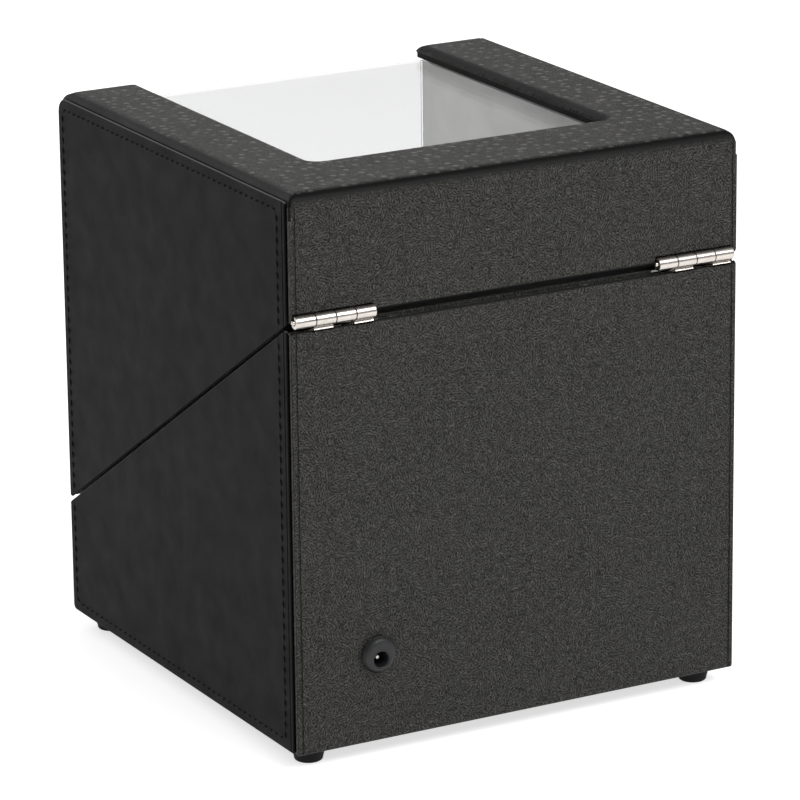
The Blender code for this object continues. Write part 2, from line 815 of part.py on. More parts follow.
def controls():
    low = DECK_TOP + 0.6 * MM
    deck_bottom = DECK_TOP - DECK_THICK
    knob = turned(
        "mode_knob",
        [
            (0, low + KNOB_HEIGHT),
            (KNOB_RADIUS - 1.4 * MM, low + KNOB_HEIGHT),
            (KNOB_RADIUS - 0.6 * MM, low + KNOB_HEIGHT - 0.8 * MM),
            (KNOB_RADIUS, low),
            (KNOB_SHAFT, low),
            (KNOB_SHAFT, deck_bottom),
            (0, deck_bottom),
        ],
        BLACK_PLASTIC,
        steps=36,
        parent=knob_axis,
    )
    line = box_mesh(
        (-0.4 * MM, 1.5 * MM, low + KNOB_HEIGHT - 0.5 * MM), (0.4 * MM, 9 * MM, low + 20 * MM)
    )
    cut(knob, add_cutter("pointer_groove", line, parent=knob_axis))
    half = 6.5 * MM
    switch_top = deck_bottom - GAP
    body = box_mesh((-half, -half, switch_top - 8 * MM), (half, half, switch_top))
    bevel(add("mode_switch", body, BLACK_PLASTIC, parent=knob_axis), 0.5 * MM, segments=1)

    rim_top = DECK_TOP + 1.3 * MM
    bore_bottom = -14 * MM
    turned(
        "button_housing",
        [
            (BUTTON_BORE, rim_top),
            (BUTTON_FLANGE - 0.5 * MM, rim_top),
            (BUTTON_FLANGE, rim_top - 0.5 * MM),
            (BUTTON_FLANGE, DECK_TOP + GAP),
            (BUTTON_BARREL, DECK_TOP + GAP),
            (BUTTON_BARREL, bore_bottom - 2 * MM),
            (0, bore_bottom - 2 * MM),
            (0, bore_bottom),
            (BUTTON_BORE, bore_bottom),
            (BUTTON_BORE, rim_top),
        ],
        BLACK_PLASTIC,
        steps=36,
        parent=button_axis,
    )
    turned(
        "power_button",
        [
            (0, rim_top + 2.2 * MM),
            (BUTTON_RADIUS - 0.8 * MM, rim_top + 2.0 * MM),
            (BUTTON_RADIUS, rim_top + 1.3 * MM),
            (BUTTON_RADIUS, -11.5 * MM),
            (0, -11.5 * MM),
        ],
        NICKEL,
        steps=32,
        parent=button_axis,
    )


# ---------------------------------------------------------------- jack, circuit board and leads


def jack():
    """The jack's own Z axis points out of the back."""
    turned(
        "jack_body",
        [
            (JACK_BORE, 0),
            (JACK_BARREL, 0),
            (JACK_BARREL, -JACK_DEPTH),
            (0, -JACK_DEPTH),
            (0, -JACK_BORE_DEPTH),
            (JACK_BORE, -JACK_BORE_DEPTH),
            (JACK_BORE, 0),
        ],
        BLACK_PLASTIC,
        steps=36,
        parent=jack_axis,
    )
    flange = turned(
        "jack_flange",
        [
            (0, REAR_PROUD),
            (JACK_FLANGE - 1.5 * MM, REAR_PROUD),
            (JACK_FLANGE - 0.7 * MM, REAR_PROUD - 0.3 * MM),
            (JACK_FLANGE - 0.1 * MM, REAR_PROUD - MM),
            (JACK_FLANGE, GAP),
            (0, GAP),
        ],
        BLACK_PLASTIC,
        steps=48,
        parent=jack_axis,
        location=(0, -JACK_FLANGE_RISE, 0),
    )
    bore = cylinder_mesh(JACK_BORE, -5 * MM, 10 * MM, sides=36)
    cut(flange, add_cutter("flange_bore", bore, parent=jack_axis))
    turned(
        "jack_pin",
        [
            (0, -JACK_PIN_RECESS),
            (0.6 * JACK_PIN, -JACK_PIN_RECESS - 0.1 * MM),
            (JACK_PIN, -JACK_PIN_RECESS - 0.6 * MM),
            (JACK_PIN, GAP - JACK_BORE_DEPTH),
            (0, GAP - JACK_BORE_DEPTH),
        ],
        NICKEL,
        steps=20,
        parent=jack_axis,
    )


def circuit_board():
    low = (*BOARD_LOW, BOARD_Z)
    high = (*BOARD_HIGH, BOARD_Z + BOARD_SHEET)
    board = add("circuit_board", box_mesh(low, high), CIRCUIT)
    post_foot = FLOOR_BOARD_LOW + FLOOR_BOARD + GAP
    inset = 5 * MM
    for i, x in enumerate((BOARD_LOW[0] + inset, BOARD_HIGH[0] - inset)):
        for j, y in enumerate((BOARD_LOW[1] + inset, BOARD_HIGH[1] - inset)):
            post = cylinder_mesh(2.5 * MM, post_foot, BOARD_Z + BOARD_SHEET / 2, 16, x, y)
            join(board, add_cutter(f"board_post_{i}{j}", post))


def lead(name, points):
    """A lead along a smooth curve through these points."""
    guide = bpy.data.curves.new(name + "_route", "CURVE")
    guide.dimensions = "3D"
    guide.resolution_u = 5
    spline = guide.splines.new("BEZIER")
    spline.bezier_points.add(len(points) - 1)
    for knot, point in zip(spline.bezier_points, points):
        knot.co = point
        knot.handle_left_type = "AUTO"
        knot.handle_right_type = "AUTO"
    guide.bevel_depth = LEAD_RADIUS
    guide.bevel_resolution = 2
    guide.use_fill_caps = True
    made = bpy.data.objects.new(name, guide)
    parts.objects.link(made)
    guide.materials.append(CABLE)
    return made


def leads(motor_bottom):
    board_top = BOARD_Z + BOARD_SHEET + GAP
    start = Vector((JACK_X, BACK - JACK_DEPTH - GAP, JACK_Z))
    end = Vector((JACK_X - 8 * MM, 6 * MM, board_top))
    lead(
        "jack_lead",
        [
            start,
            start + Vector((0, -12 * MM, -1 * MM)),
            start + Vector((-4 * MM, -34 * MM, 0)),
            end + Vector((-1 * MM, 12 * MM, 13 * MM)),
            end + Vector((0, 0, 6 * MM)),
            end,
        ],
    )
    down = Vector((0, math.sin(SLANT), -math.cos(SLANT)))
    start = Vector((-GEAR_CENTRES, CENTRE_Y, CENTRE_Z)) + down * (GAP - motor_bottom)
    end = Vector((BOARD_LOW[0] + 8 * MM, 0, board_top))
    lead(
        "motor_lead",
        [
            start,
            start + down * 8 * MM,
            start + Vector((16 * MM, 2 * MM, -20 * MM)),
            start + Vector((36 * MM, -18 * MM, -20 * MM)),
            end + Vector((0, 0, 6 * MM)),
            end,
        ],
    )


# ---------------------------------------------------------------- lid


def lid_top_frame():
    reach = WRAP_SIDE
    corners = [
        (-reach, FRONT),
        (-WINDOW_HALF, FRONT),
        (-WINDOW_HALF, WINDOW_BACK),
        (WINDOW_HALF, WINDOW_BACK),
        (WINDOW_HALF, FRONT),
        (reach, FRONT),
        (reach, BACK),
        (-reach, BACK),
    ]
    tip = 2.5 * MM
    radii = [tip, tip, WINDOW_CORNER, WINDOW_CORNER, tip, tip, tip, tip]
    mesh = plate_mesh([rounded(corners, radii)], TOP_BOARD)
    frame = add("lid_top_frame", mesh, TEXTURED_LEATHER, location=(0, 0, TOP - TOP_BOARD))
    weights = mesh.attributes.new("bevel_weight_edge", "FLOAT", "EDGE")
    for edge, weight in zip(mesh.edges, weights.data):
        first, second = (mesh.vertices[i].co for i in edge.vertices)
        middle = (first + second) / 2
        on_top = min(first.z, second.z) > TOP_BOARD / 2
        inner = abs(middle.x) < WINDOW_HALF + tip and middle.y < WINDOW_BACK + tip
        weight.value = (LIP_ROUND / TOP_ROUND if inner else 1.0) if on_top else 0.0
    rounding = bevel(frame, TOP_ROUND, segments=3)
    rounding.limit_method = "WEIGHT"
    low = (-LINER_INNER - LINER, FRONT - WALL, TOP - TOP_BOARD - WALL)
    high = (LINER_INNER + LINER, WINDOW_BACK + RABBET, TOP - TOP_LIP)
    cut(frame, add_cutter("pane_rabbet", box_mesh(low, high)), *PANEL_BEDS)


def lid_carcass():
    board_top = TOP - TOP_BOARD - GAP
    back = upright_plate(
        "lid_back_board",
        [
            (BACK - WALL, below_split(BACK - WALL, -SPLIT_GAP)),
            (BACK, below_split(BACK, -SPLIT_GAP)),
            (BACK, board_top),
            (BACK - WALL, board_top),
        ],
        -WRAP_SIDE,
        WRAP_SIDE,
        TEXTURED_LEATHER,
    )
    bevel(back, EDGE_ROUND)
    cut(back, *PANEL_BEDS)
    for side, sign in sides():
        cut(back, *hinge_recess(f"lid_hinge_{side}", sign, False))

    inner_front = FRONT + WALL
    front = upright_plate(
        "lid_front_frame",
        [
            (FRONT, below_split(FRONT, -SPLIT_GAP)),
            (inner_front, below_split(inner_front, -SPLIT_GAP)),
            (inner_front, board_top),
            (FRONT, board_top),
        ],
        -BOARD_SIDE,
        BOARD_SIDE,
        TEXTURED_LEATHER,
    )
    bevel(front, EDGE_ROUND)
    window_low = split_z(FRONT) + FRONT_RAIL_HEIGHT
    half = LINER_INNER + LINER + GAP
    low = (-half, FRONT - WALL, window_low)
    high = (half, inner_front + WALL, TOP)
    cut(front, add_cutter("front_window", box_mesh(low, high)))
    cut(front, catch_hole("catch_hole", -WALL, SPLIT_GAP + CATCH_DEPTH + GAP))

    start = inner_front + GAP
    end = BACK - WALL - GAP
    for side, sign in sides():
        low, high = spread(sign, BOARD_SIDE - WALL, BOARD_SIDE)
        upright_plate(
            f"lid_side_board_{side}",
            [
                (start, below_split(start, -SPLIT_GAP)),
                (end, below_split(end, -SPLIT_GAP)),
                (end, board_top),
                (start, board_top),
            ],
            low,
            high,
            TEXTURED_LEATHER,
        )
        low, high = spread(sign, LINER_INNER + LINER + GAP, BOARD_SIDE - WALL - GAP)
        upright_plate(
            f"lid_sill_{side}",
            [
                (start, below_split(start, -SPLIT_GAP)),
                (end, below_split(end, -SPLIT_GAP)),
                (end, below_split(end, -SPLIT_GAP - SILL)),
                (start, below_split(start, -SPLIT_GAP - SILL)),
            ],
            low,
            high,
            TEXTURED_LEATHER,
        )
        low, high = spread(sign, LINER_INNER, LINER_INNER + LINER)
        liner_top = TOP - TOP_LIP - GAP - RAIL - GAP - PANE - GAP
        liner_front = inner_front + GAP
        rabbet_back = WINDOW_BACK + RABBET - GAP
        upright_plate(
            f"lid_liner_{side}",
            [
                (FRONT + GAP, window_low + GAP),
                (liner_front, window_low + GAP),
                (liner_front, below_split(liner_front, -SPLIT_GAP)),
                (end, below_split(end, -SPLIT_GAP)),
                (end, board_top),
                (rabbet_back, board_top),
                (rabbet_back, liner_top),
                (FRONT + GAP, liner_top),
            ],
            low,
            high,
            GREY_LINING,
        )
        low, high = spread(sign, SIDE - LEATHER, SIDE)
        panel_front = FRONT + GAP
        panel_back = BACK - PANEL_BACK_INSET
        panel = upright_plate(
            f"lid_side_panel_{side}",
            rounded(
                [
                    (panel_front, below_split(panel_front, -SPLIT_GAP)),
                    (panel_back, below_split(panel_back, -SPLIT_GAP)),
                    (panel_back, TOP - PANEL_TOP_DROP),
                    (panel_front, TOP - PANEL_TOP_DROP),
                ],
                [MM, MM, MM, 3 * MM],
                steps=3,
            ),
            low,
            high,
            SMOOTH_LEATHER,
        )
        bevel(panel, 0.4 * MM, segments=1)


def panes():
    half = LINER_INNER + LINER - GAP
    rail_top = TOP - TOP_LIP - GAP
    rail_low = rail_top - RAIL
    rear = WINDOW_BACK + 4 * MM
    inner = WINDOW_HALF + 1.2 * MM
    inner_rear = WINDOW_BACK + 1.2 * MM
    corners = [
        (-inner - RAIL_WIDTH, FRONT + MM),
        (-inner, FRONT + MM),
        (-inner, inner_rear),
        (inner, inner_rear),
        (inner, FRONT + MM),
        (inner + RAIL_WIDTH, FRONT + MM),
        (inner + RAIL_WIDTH, inner_rear + RAIL_WIDTH),
        (-inner - RAIL_WIDTH, inner_rear + RAIL_WIDTH),
    ]
    rail = plate_mesh([corners], RAIL)
    add("pane_rail", rail, BLACK_PLASTIC, location=(0, 0, rail_low))
    pane_top = rail_low - GAP
    low = (-half, FRONT + GAP, pane_top - PANE)
    high = (half, rear, pane_top)
    bevel(add("top_pane", box_mesh(low, high), ACRYLIC), GAP, segments=1)
    half = LINER_INNER - GAP
    window_low = split_z(FRONT) + FRONT_RAIL_HEIGHT
    low = (-half, FRONT + GAP, window_low + GAP)
    high = (half, FRONT + GAP + FRONT_PANE, pane_top - PANE - GAP)
    bevel(add("front_pane", box_mesh(low, high), ACRYLIC), GAP, segments=1)


# ---------------------------------------------------------------- hinges


def hinge_leaf(name, sign, lower, first_knuckle):
    """One leaf: a plate, and a neck and a tube for every second knuckle, counted from the +X end."""
    flip = -1 if lower else 1
    centre = sign * HINGE_X + HINGE_SHIFT
    end = centre + HINGE_LENGTH / 2
    near, far = sorted((flip * KNUCKLE_RADIUS, flip * (KNUCKLE_RADIUS - LEAF_SHEET)))
    low = (centre - HINGE_LENGTH / 2, -LEAF_REACH, near)
    high = (end, 0.1 * MM - LEAF_NECK, far)
    leaf = add(name, box_mesh(low, high), NICKEL, parent=hinge_axis)
    pitch = (HINGE_LENGTH + GAP) / KNUCKLES
    for knuckle in range(first_knuckle, KNUCKLES, 2):
        right = end - knuckle * pitch
        left = right - pitch + GAP
        neck = box_mesh((left, -LEAF_NECK, near), (right, 0, far))
        join(leaf, add_cutter(f"{name}_neck_{knuckle}", neck, parent=hinge_axis))
        tube = along_x(cylinder_mesh(KNUCKLE_RADIUS, left, right, sides=24))
        join(leaf, add_cutter(f"{name}_tube_{knuckle}", tube, parent=hinge_axis))
    bore = along_x(cylinder_mesh(KNUCKLE_BORE, -HINGE_LENGTH, HINGE_LENGTH, sides=20))
    place = (centre, 0, 0)
    cut(leaf, add_cutter(f"{name}_bore", bore, parent=hinge_axis, location=place))


def hinges():
    for side, sign in sides():
        hinge_leaf(f"hinge_lid_leaf_{side}", sign, False, 0)
        hinge_leaf(f"hinge_base_leaf_{side}", sign, True, 1)
        centre = sign * HINGE_X + HINGE_SHIFT
        low = centre - HINGE_LENGTH / 2
        high = centre + HINGE_LENGTH / 2 + PIN_HEAD
        pin = along_x(cylinder_mesh(HINGE_PIN, low, high, sides=20))
        add(f"hinge_pin_{side}", pin, NICKEL, parent=hinge_axis)


base_carcass()
floor_and_feet()
catch()
deck()
turntable()
gears()
leads(drive())
controls()
jack()
circuit_board()
lid_top_frame()
lid_carcass()
panes()
hinges()
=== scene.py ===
"""The looks of a watch winder box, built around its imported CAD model. Lengths are in metres."""

import json
import math

import bmesh
import bpy
from mathutils import Matrix, Vector


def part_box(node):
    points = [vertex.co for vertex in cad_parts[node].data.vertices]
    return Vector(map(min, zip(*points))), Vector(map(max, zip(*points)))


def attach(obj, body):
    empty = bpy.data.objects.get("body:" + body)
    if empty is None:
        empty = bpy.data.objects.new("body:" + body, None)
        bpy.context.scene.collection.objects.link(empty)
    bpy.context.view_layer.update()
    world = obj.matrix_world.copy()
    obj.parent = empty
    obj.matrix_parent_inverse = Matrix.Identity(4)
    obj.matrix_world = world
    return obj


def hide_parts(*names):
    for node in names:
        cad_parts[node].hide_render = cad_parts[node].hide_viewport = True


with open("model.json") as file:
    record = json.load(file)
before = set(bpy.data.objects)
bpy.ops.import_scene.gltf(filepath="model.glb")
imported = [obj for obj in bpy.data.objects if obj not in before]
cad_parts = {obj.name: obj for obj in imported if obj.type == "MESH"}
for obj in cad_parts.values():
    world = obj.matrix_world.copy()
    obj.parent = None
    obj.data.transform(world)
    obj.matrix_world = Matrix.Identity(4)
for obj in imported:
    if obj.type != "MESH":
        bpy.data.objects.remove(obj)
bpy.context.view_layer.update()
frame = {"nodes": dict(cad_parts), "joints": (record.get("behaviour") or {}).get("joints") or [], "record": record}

MM = 0.001

# ---------------------------------------------------------------- places, read from the frame or given as numbers

BASE_LOW, BASE_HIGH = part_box("base_back_board")
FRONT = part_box("base_front_board")[0].y
BACK = BASE_HIGH.y
WRAP_SIDE = BASE_HIGH.x
FLOOR = BASE_LOW.z
WALL = BASE_HIGH.y - BASE_LOW.y
FRAME_LOW, FRAME_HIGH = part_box("lid_top_frame")
TOP = FRAME_HIGH.z
PANEL_LOW, PANEL_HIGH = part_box("lid_side_panel_right")
SIDE = PANEL_HIGH.x
BOARD_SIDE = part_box("lid_side_board_right")[1].x
JOINTS = {joint["name"]: joint for joint in frame["joints"]}
TURN_CENTRE = Vector(JOINTS["turntable_spin"]["pos_m"])
NORMAL = Vector(JOINTS["turntable_spin"]["axis"])
HINGE = Vector(JOINTS["lid_hinge"]["pos_m"])
SLANT = math.acos(NORMAL.z)
SIDES = (("left", -1), ("right", 1))

GAP = 0.3 * MM
SPLIT_GAP = 0.6 * MM
WINDOW_HALF = 59.2 * MM
WINDOW_BACK = BACK - 38 * MM
WINDOW_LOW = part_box("front_pane")[0].z - GAP
RABBET_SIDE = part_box("lid_liner_right")[1].x
RABBET_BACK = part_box("top_pane")[1].y + MM
TOP_LIP = 3.3 * MM
TOP_ROUND = 4.7 * MM
LIP_ROUND = 3 * MM
FRONT_ROUND = 8.5 * MM
CREASE_INSET = 1.9 * MM


def split_z(y):
    """Height of the slanted plane between base and lid, at a depth y."""
    return HINGE.z + (y - HINGE.y) * math.tan(SLANT)


def off_split(y, distance):
    """Height at y of the plane that far above the split plane, square to it."""
    return split_z(y) + distance / math.cos(SLANT)


SLANTED = Matrix.Translation(TURN_CENTRE) @ Matrix.Rotation(SLANT, 4, "X")
HINGE_FRAME = Matrix.Translation(HINGE) @ Matrix.Rotation(SLANT, 4, "X")
ALONG_X = Matrix.Rotation(math.pi / 2, 4, "Y")
TO_BACK = Matrix.Rotation(-math.pi / 2, 4, "X")

# ---------------------------------------------------------------- materials


SOCKETS = {
    "specular_ior_level": "Specular IOR Level",
    "sheen_weight": "Sheen Weight",
    "sheen_roughness": "Sheen Roughness",
    "metallic": "Metallic",
    "transmission_weight": "Transmission Weight",
}


class Paint:
    """Builds one material's nodes."""

    def __init__(self, name):
        self.material = bpy.data.materials.new(name)
        self.material.use_nodes = True
        self.tree = self.material.node_tree
        self.shader = self.tree.nodes["Principled BSDF"]

    def node(self, kind, **settings):
        made = self.tree.nodes.new("ShaderNode" + kind)
        for key, value in settings.items():
            setattr(made, key, value)
        return made

    def put(self, socket, value):
        if isinstance(value, bpy.types.NodeSocket):
            self.tree.links.new(value, socket)
        else:
            socket.default_value = value

    def math(self, operation, *values, clamp=False):
        made = self.node("Math", operation=operation, use_clamp=clamp)
        for socket, value in zip(made.inputs, values):
            self.put(socket, value)
        return made.outputs[0]

    def place(self):
        """The place on the piece, in millimetres."""
        coordinates = self.node("TexCoord")
        scaled = self.node("VectorMath", operation="SCALE")
        self.put(scaled.inputs[0], coordinates.outputs["Object"])
        scaled.inputs["Scale"].default_value = 1000
        return scaled.outputs[0]

    def split(self, vector):
        made = self.node("SeparateXYZ")
        self.put(made.inputs[0], vector)
        return made.outputs

    def joined(self, x, y, z):
        made = self.node("CombineXYZ")
        for socket, value in zip(made.inputs, (x, y, z)):
            self.put(socket, value)
        return made.outputs[0]

    def noise(self, vector, size, detail=3.0, roughness=0.5, distortion=0.0):
        """Noise whose lumps are about that many millimetres across."""
        made = self.node("TexNoise")
        self.put(made.inputs["Vector"], vector)
        made.inputs["Scale"].default_value = 1 / size
        made.inputs["Detail"].default_value = detail
        made.inputs["Roughness"].default_value = roughness
        made.inputs["Distortion"].default_value = distortion
        return made.outputs["Fac"]

    def cells(self, vector, size, feature="F1", randomness=1.0, dimensions="3D"):
        made = self.node("TexVoronoi", feature=feature, voronoi_dimensions=dimensions)
        self.put(made.inputs["Vector"], vector)
        made.inputs["Scale"].default_value = 1 / size
        made.inputs["Randomness"].default_value = randomness
        return made.outputs

    def spread(self, value, low, high, to_low=0.0, to_high=1.0):
        made = self.node("MapRange", clamp=True)
        self.put(made.inputs["Value"], value)
        for name, number in (
            ("From Min", low),
            ("From Max", high),
            ("To Min", to_low),
            ("To Max", to_high),
        ):
            self.put(made.inputs[name], number)
        return made.outputs[0]

    def mixed(self, factor, first, second):
        made = self.node("Mix", data_type="RGBA")
        self.put(made.inputs["Factor"], factor)
        for name, colour in (("A", first), ("B", second)):
            socket = [s for s in made.inputs if s.name == name and s.type == "RGBA"][0]
            self.put(socket, colour if isinstance(colour, bpy.types.NodeSocket) else (*colour, 1))
        return [s for s in made.outputs if s.type == "RGBA"][0]

    def shift(self, vector, amount, size):
        """The vector moved about by noise, up to about that many millimetres."""
        made = self.node("TexNoise")
        self.put(made.inputs["Vector"], vector)
        made.inputs["Scale"].default_value = 1 / size
        made.inputs["Detail"].default_value = 2
        centred = self.node("VectorMath", operation="SUBTRACT")
        self.put(centred.inputs[0], made.outputs["Color"])
        centred.inputs[1].default_value = (0.5, 0.5, 0.5)
        scaled = self.node("VectorMath", operation="SCALE")
        self.put(scaled.inputs[0], centred.outputs[0])
        scaled.inputs["Scale"].default_value = 2 * amount
        summed = self.node("VectorMath", operation="ADD")
        self.put(summed.inputs[0], vector)
        self.put(summed.inputs[1], scaled.outputs[0])
        return summed.outputs[0]

    def bump(self, height, distance, strength=1.0):
        """Height 0 to 1 stands for that many millimetres."""
        made = self.node("Bump")
        self.put(made.inputs["Height"], height)
        made.inputs["Distance"].default_value = distance * MM
        made.inputs["Strength"].default_value = strength
        self.put(self.shader.inputs["Normal"], made.outputs[0])

    def colour(self, value):
        self.put(self.shader.inputs["Base Color"], value)

    def rough(self, value):
        self.put(self.shader.inputs["Roughness"], value)

    def set(self, **values):
        for key, value in values.items():
            self.shader.inputs[SOCKETS[key]].default_value = value

    def upness(self):
        """1 where the surface faces straight up."""
        return self.split(self.node("TexCoord").outputs["Normal"])[2]

    def flatness(self):
        """1 on flat faces, falling to 0 on the edges that are rolled over."""
        normal = self.node("TexCoord").outputs["Normal"]
        parts = [self.math("ABSOLUTE", part) for part in self.split(normal)]
        most = self.math("MAXIMUM", parts[0], self.math("MAXIMUM", parts[1], parts[2]))
        return self.spread(most, 0.86, 0.985)


# The dark and mid tones are the leather's own. The light tone is a painted highlight, laid on the grain's ridges,
# rings and dots.
GRAIN_DARK = (0.0035, 0.0035, 0.0034)
GRAIN_MID = (0.0065, 0.0065, 0.0062)
GRAIN_PAINTED_HIGHLIGHT = (0.13, 0.127, 0.118)


def textured_leather():
    """Leatherette embossed with dots, fine wavy strokes and here and there a ring of ripples."""
    paint = Paint("textured_leather_look")
    place = paint.place()
    x, y, z = paint.split(place)
    down = paint.math("SUBTRACT", y, z)
    unrolled = paint.joined(x, down, 0.0)
    flat = paint.flatness()

    dot_pitch, strokes_per_mm, rings_out = 4.7, 1.04, 4.6
    spots = paint.cells(paint.shift(unrolled, 0.25, 3.0), dot_pitch, "F1", 0.85, "2D")
    distance = spots["Distance"]
    chance, dot_height, direction = paint.split(spots["Color"])

    # Each cell has strokes in one direction of its own, bent by noise.
    stray = paint.noise(unrolled, 1.5, detail=3)
    stray = paint.math("MULTIPLY", paint.math("SUBTRACT", stray, 0.5), 2.6)
    middle = paint.split(spots["Position"])
    turn = paint.math("MULTIPLY", direction, math.pi)
    across = paint.math("SUBTRACT", x, middle[0])
    away = paint.math("SUBTRACT", down, middle[1])
    strokes = paint.math(
        "ADD",
        paint.math("MULTIPLY", across, paint.math("COSINE", turn)),
        paint.math("MULTIPLY", away, paint.math("SINE", turn)),
    )
    strokes = paint.math("MULTIPLY_ADD", strokes, strokes_per_mm, stray)

    # A few cells have rings in place of strokes.
    present = paint.spread(chance, 0.8, 0.86)
    near = paint.math("MULTIPLY", present, paint.spread(distance, 0.3, 0.46, 1.0, 0.0))
    rings = paint.math("MULTIPLY", distance, rings_out)
    phase = paint.math("MULTIPLY_ADD", paint.math("SUBTRACT", rings, strokes), near, strokes)
    ripple = paint.math("SINE", paint.math("MULTIPLY_ADD", phase, 2 * math.pi, -3.3))
    ripple = paint.spread(ripple, -0.55, 0.95)
    dome = paint.spread(distance, 0.09, 0.3, 1.0, 0.0)
    dome = paint.math("MULTIPLY", dome, paint.spread(dot_height, 0.1, 0.9, 0.1, 1.0))
    upright = paint.spread(paint.upness(), 0.7, 0.95)
    fine = paint.noise(paint.shift(unrolled, 0.4, 0.9), 0.72, detail=3, roughness=0.6)

    height = paint.math("MULTIPLY_ADD", ripple, 0.55, paint.math("MULTIPLY", fine, 0.6))
    height = paint.math("MULTIPLY_ADD", dome, paint.spread(upright, 0, 1, 0.15, 0.8), height)
    height = paint.math("MULTIPLY", height, paint.spread(flat, 0, 1, 0.1, 1.0))
    paint.bump(height, 0.22)

    broad = paint.noise(place, 26, detail=3)
    # Painted highlight: the ridges of the rings and fine wrinkles, the faces that look up and, most of all, the
    # dots on them are painted in the light tone, for the glints of light on them. The rolled edges get none.
    patch = paint.spread(paint.noise(place, 2.6, detail=3), 0.36, 0.64, 0.35, 1.0)
    wrinkle_highlight = paint.spread(fine, 0.42, 0.68)
    painted_highlight = paint.math("MULTIPLY", paint.math("MULTIPLY", ripple, patch), 0.36)
    painted_highlight = paint.math("MULTIPLY_ADD", wrinkle_highlight, 0.34, painted_highlight)
    painted_highlight = paint.math("MULTIPLY_ADD", upright, 0.03, painted_highlight)
    dots = paint.spread(upright, 0, 1, 0.02, 1.3)
    painted_highlight = paint.math("MULTIPLY_ADD", dome, dots, painted_highlight, clamp=True)
    painted_highlight = paint.math("MULTIPLY", painted_highlight, paint.spread(flat, 0, 1, 0.0, 1.0))
    ground = paint.mixed(paint.spread(broad, 0.35, 0.7), GRAIN_MID, GRAIN_DARK)
    # Painted shade: the rolled edges are painted in the darkest tone, for the dark band along them.
    ground = paint.mixed(flat, GRAIN_DARK, ground)
    paint.colour(paint.mixed(painted_highlight, ground, GRAIN_PAINTED_HIGHLIGHT))
    paint.rough(paint.spread(paint.math("ADD", fine, broad), 0.7, 1.3, 0.5, 0.4))
    paint.set(specular_ior_level=0.1)
    return paint.material


def smooth_leather():
    """Thin matt leatherette with a very fine grain."""
    paint = Paint("smooth_leather_look")
    place = paint.place()
    grain = paint.cells(paint.shift(place, 0.15, 0.8), 0.42, "DISTANCE_TO_EDGE")[0]
    grain = paint.spread(grain, 0.0, 0.18)
    broad = paint.noise(place, 38, detail=4)
    soft = paint.noise(place, 5, detail=3)
    height = paint.math("MULTIPLY_ADD", soft, 0.1, paint.math("MULTIPLY", grain, 0.25))
    paint.bump(height, 0.09)
    tone = paint.spread(broad, 0.35, 0.7)
    colour = paint.mixed(tone, (0.0026, 0.0027, 0.0028), (0.0038, 0.0039, 0.0040))
    colour = paint.mixed(paint.math("MULTIPLY", grain, 0.35), colour, (0.006, 0.006, 0.006))
    # Painted highlight: faces that look up, such as the rounded top edges of the panels, are painted light grey,
    # as if lit from above.
    painted_top_highlight = paint.spread(paint.upness(), 0.2, 0.75)
    paint.colour(paint.mixed(painted_top_highlight, colour, (0.11, 0.11, 0.108)))
    paint.rough(paint.spread(paint.noise(place, 11, detail=4), 0.3, 0.7, 0.50, 0.60))
    paint.set(specular_ior_level=0.06)
    return paint.material


def velvet(name, dark, light):
    """Short flocked pile that lies in slightly different ways."""
    paint = Paint(name)
    place = paint.place()
    lay = paint.noise(place, 14, detail=4, distortion=0.6)
    pile = paint.noise(place, 0.28, detail=2)
    tone = paint.spread(paint.math("MULTIPLY_ADD", pile, 0.45, lay), 0.45, 0.95)
    paint.colour(paint.mixed(tone, dark, light))
    paint.rough(paint.spread(lay, 0.3, 0.7, 0.85, 0.97))
    paint.bump(paint.math("MULTIPLY_ADD", lay, 0.6, pile), 0.12, 0.7)
    paint.set(sheen_weight=0.3, sheen_roughness=0.45, specular_ior_level=0.15)
    return paint.material


def plastic(name, colour, roughness, texture=0.0, shine=0.3):
    """Moulded plastic or rubber with faint mottling and, if asked, a spark-eroded grain."""
    paint = Paint(name)
    place = paint.place()
    mottle = paint.noise(place, 7, detail=4)
    second = tuple(min(1, part * 1.35 + 0.004) for part in colour)
    paint.colour(paint.mixed(paint.spread(mottle, 0.35, 0.65), colour, second))
    paint.rough(paint.spread(mottle, 0.3, 0.7, roughness - 0.06, roughness + 0.06))
    grain = paint.noise(place, 0.3, detail=2)
    paint.bump(grain, 0.02 + texture)
    paint.set(specular_ior_level=shine)
    return paint.material


def metal(name, colour, roughness, brushed):
    """Metal with faint wear and fine lines left by brushing."""
    paint = Paint(name)
    place = paint.place()
    x, y, z = paint.split(place)
    lines = paint.noise(paint.joined(x, paint.math("MULTIPLY", y, 22), z), 2.2, detail=2)
    wear = paint.noise(place, 3.5, detail=4)
    dull = tuple(part * 0.82 for part in colour)
    paint.colour(paint.mixed(paint.spread(wear, 0.35, 0.7, 0.0, 0.6), colour, dull))
    paint.rough(paint.spread(wear, 0.3, 0.75, roughness * 0.75, roughness * 1.4))
    paint.bump(lines, 0.004 + brushed)
    paint.set(metallic=1.0)
    return paint.material


def acrylic():
    """Clear sheet that lets light through to what it covers."""
    paint = Paint("acrylic_look")
    place = paint.place()
    smudge = paint.noise(place, 30, detail=5)
    paint.rough(paint.spread(smudge, 0.45, 0.75, 0.004, 0.03))
    paint.shader.inputs["Base Color"].default_value = (0.9, 0.902, 0.902, 1)
    paint.set(transmission_weight=1.0)
    paint.shader.inputs["IOR"].default_value = 1.16
    clear = paint.node("BsdfTransparent")
    clear.inputs["Color"].default_value = (0.97, 0.972, 0.972, 1)
    path = paint.node("LightPath")
    chosen = paint.node("MixShader")
    paint.put(chosen.inputs[0], path.outputs["Is Shadow Ray"])
    paint.put(chosen.inputs[1], paint.shader.outputs[0])
    paint.put(chosen.inputs[2], clear.outputs[0])
    output = paint.tree.nodes["Material Output"]
    paint.put(output.inputs["Surface"], chosen.outputs[0])
    return paint.material


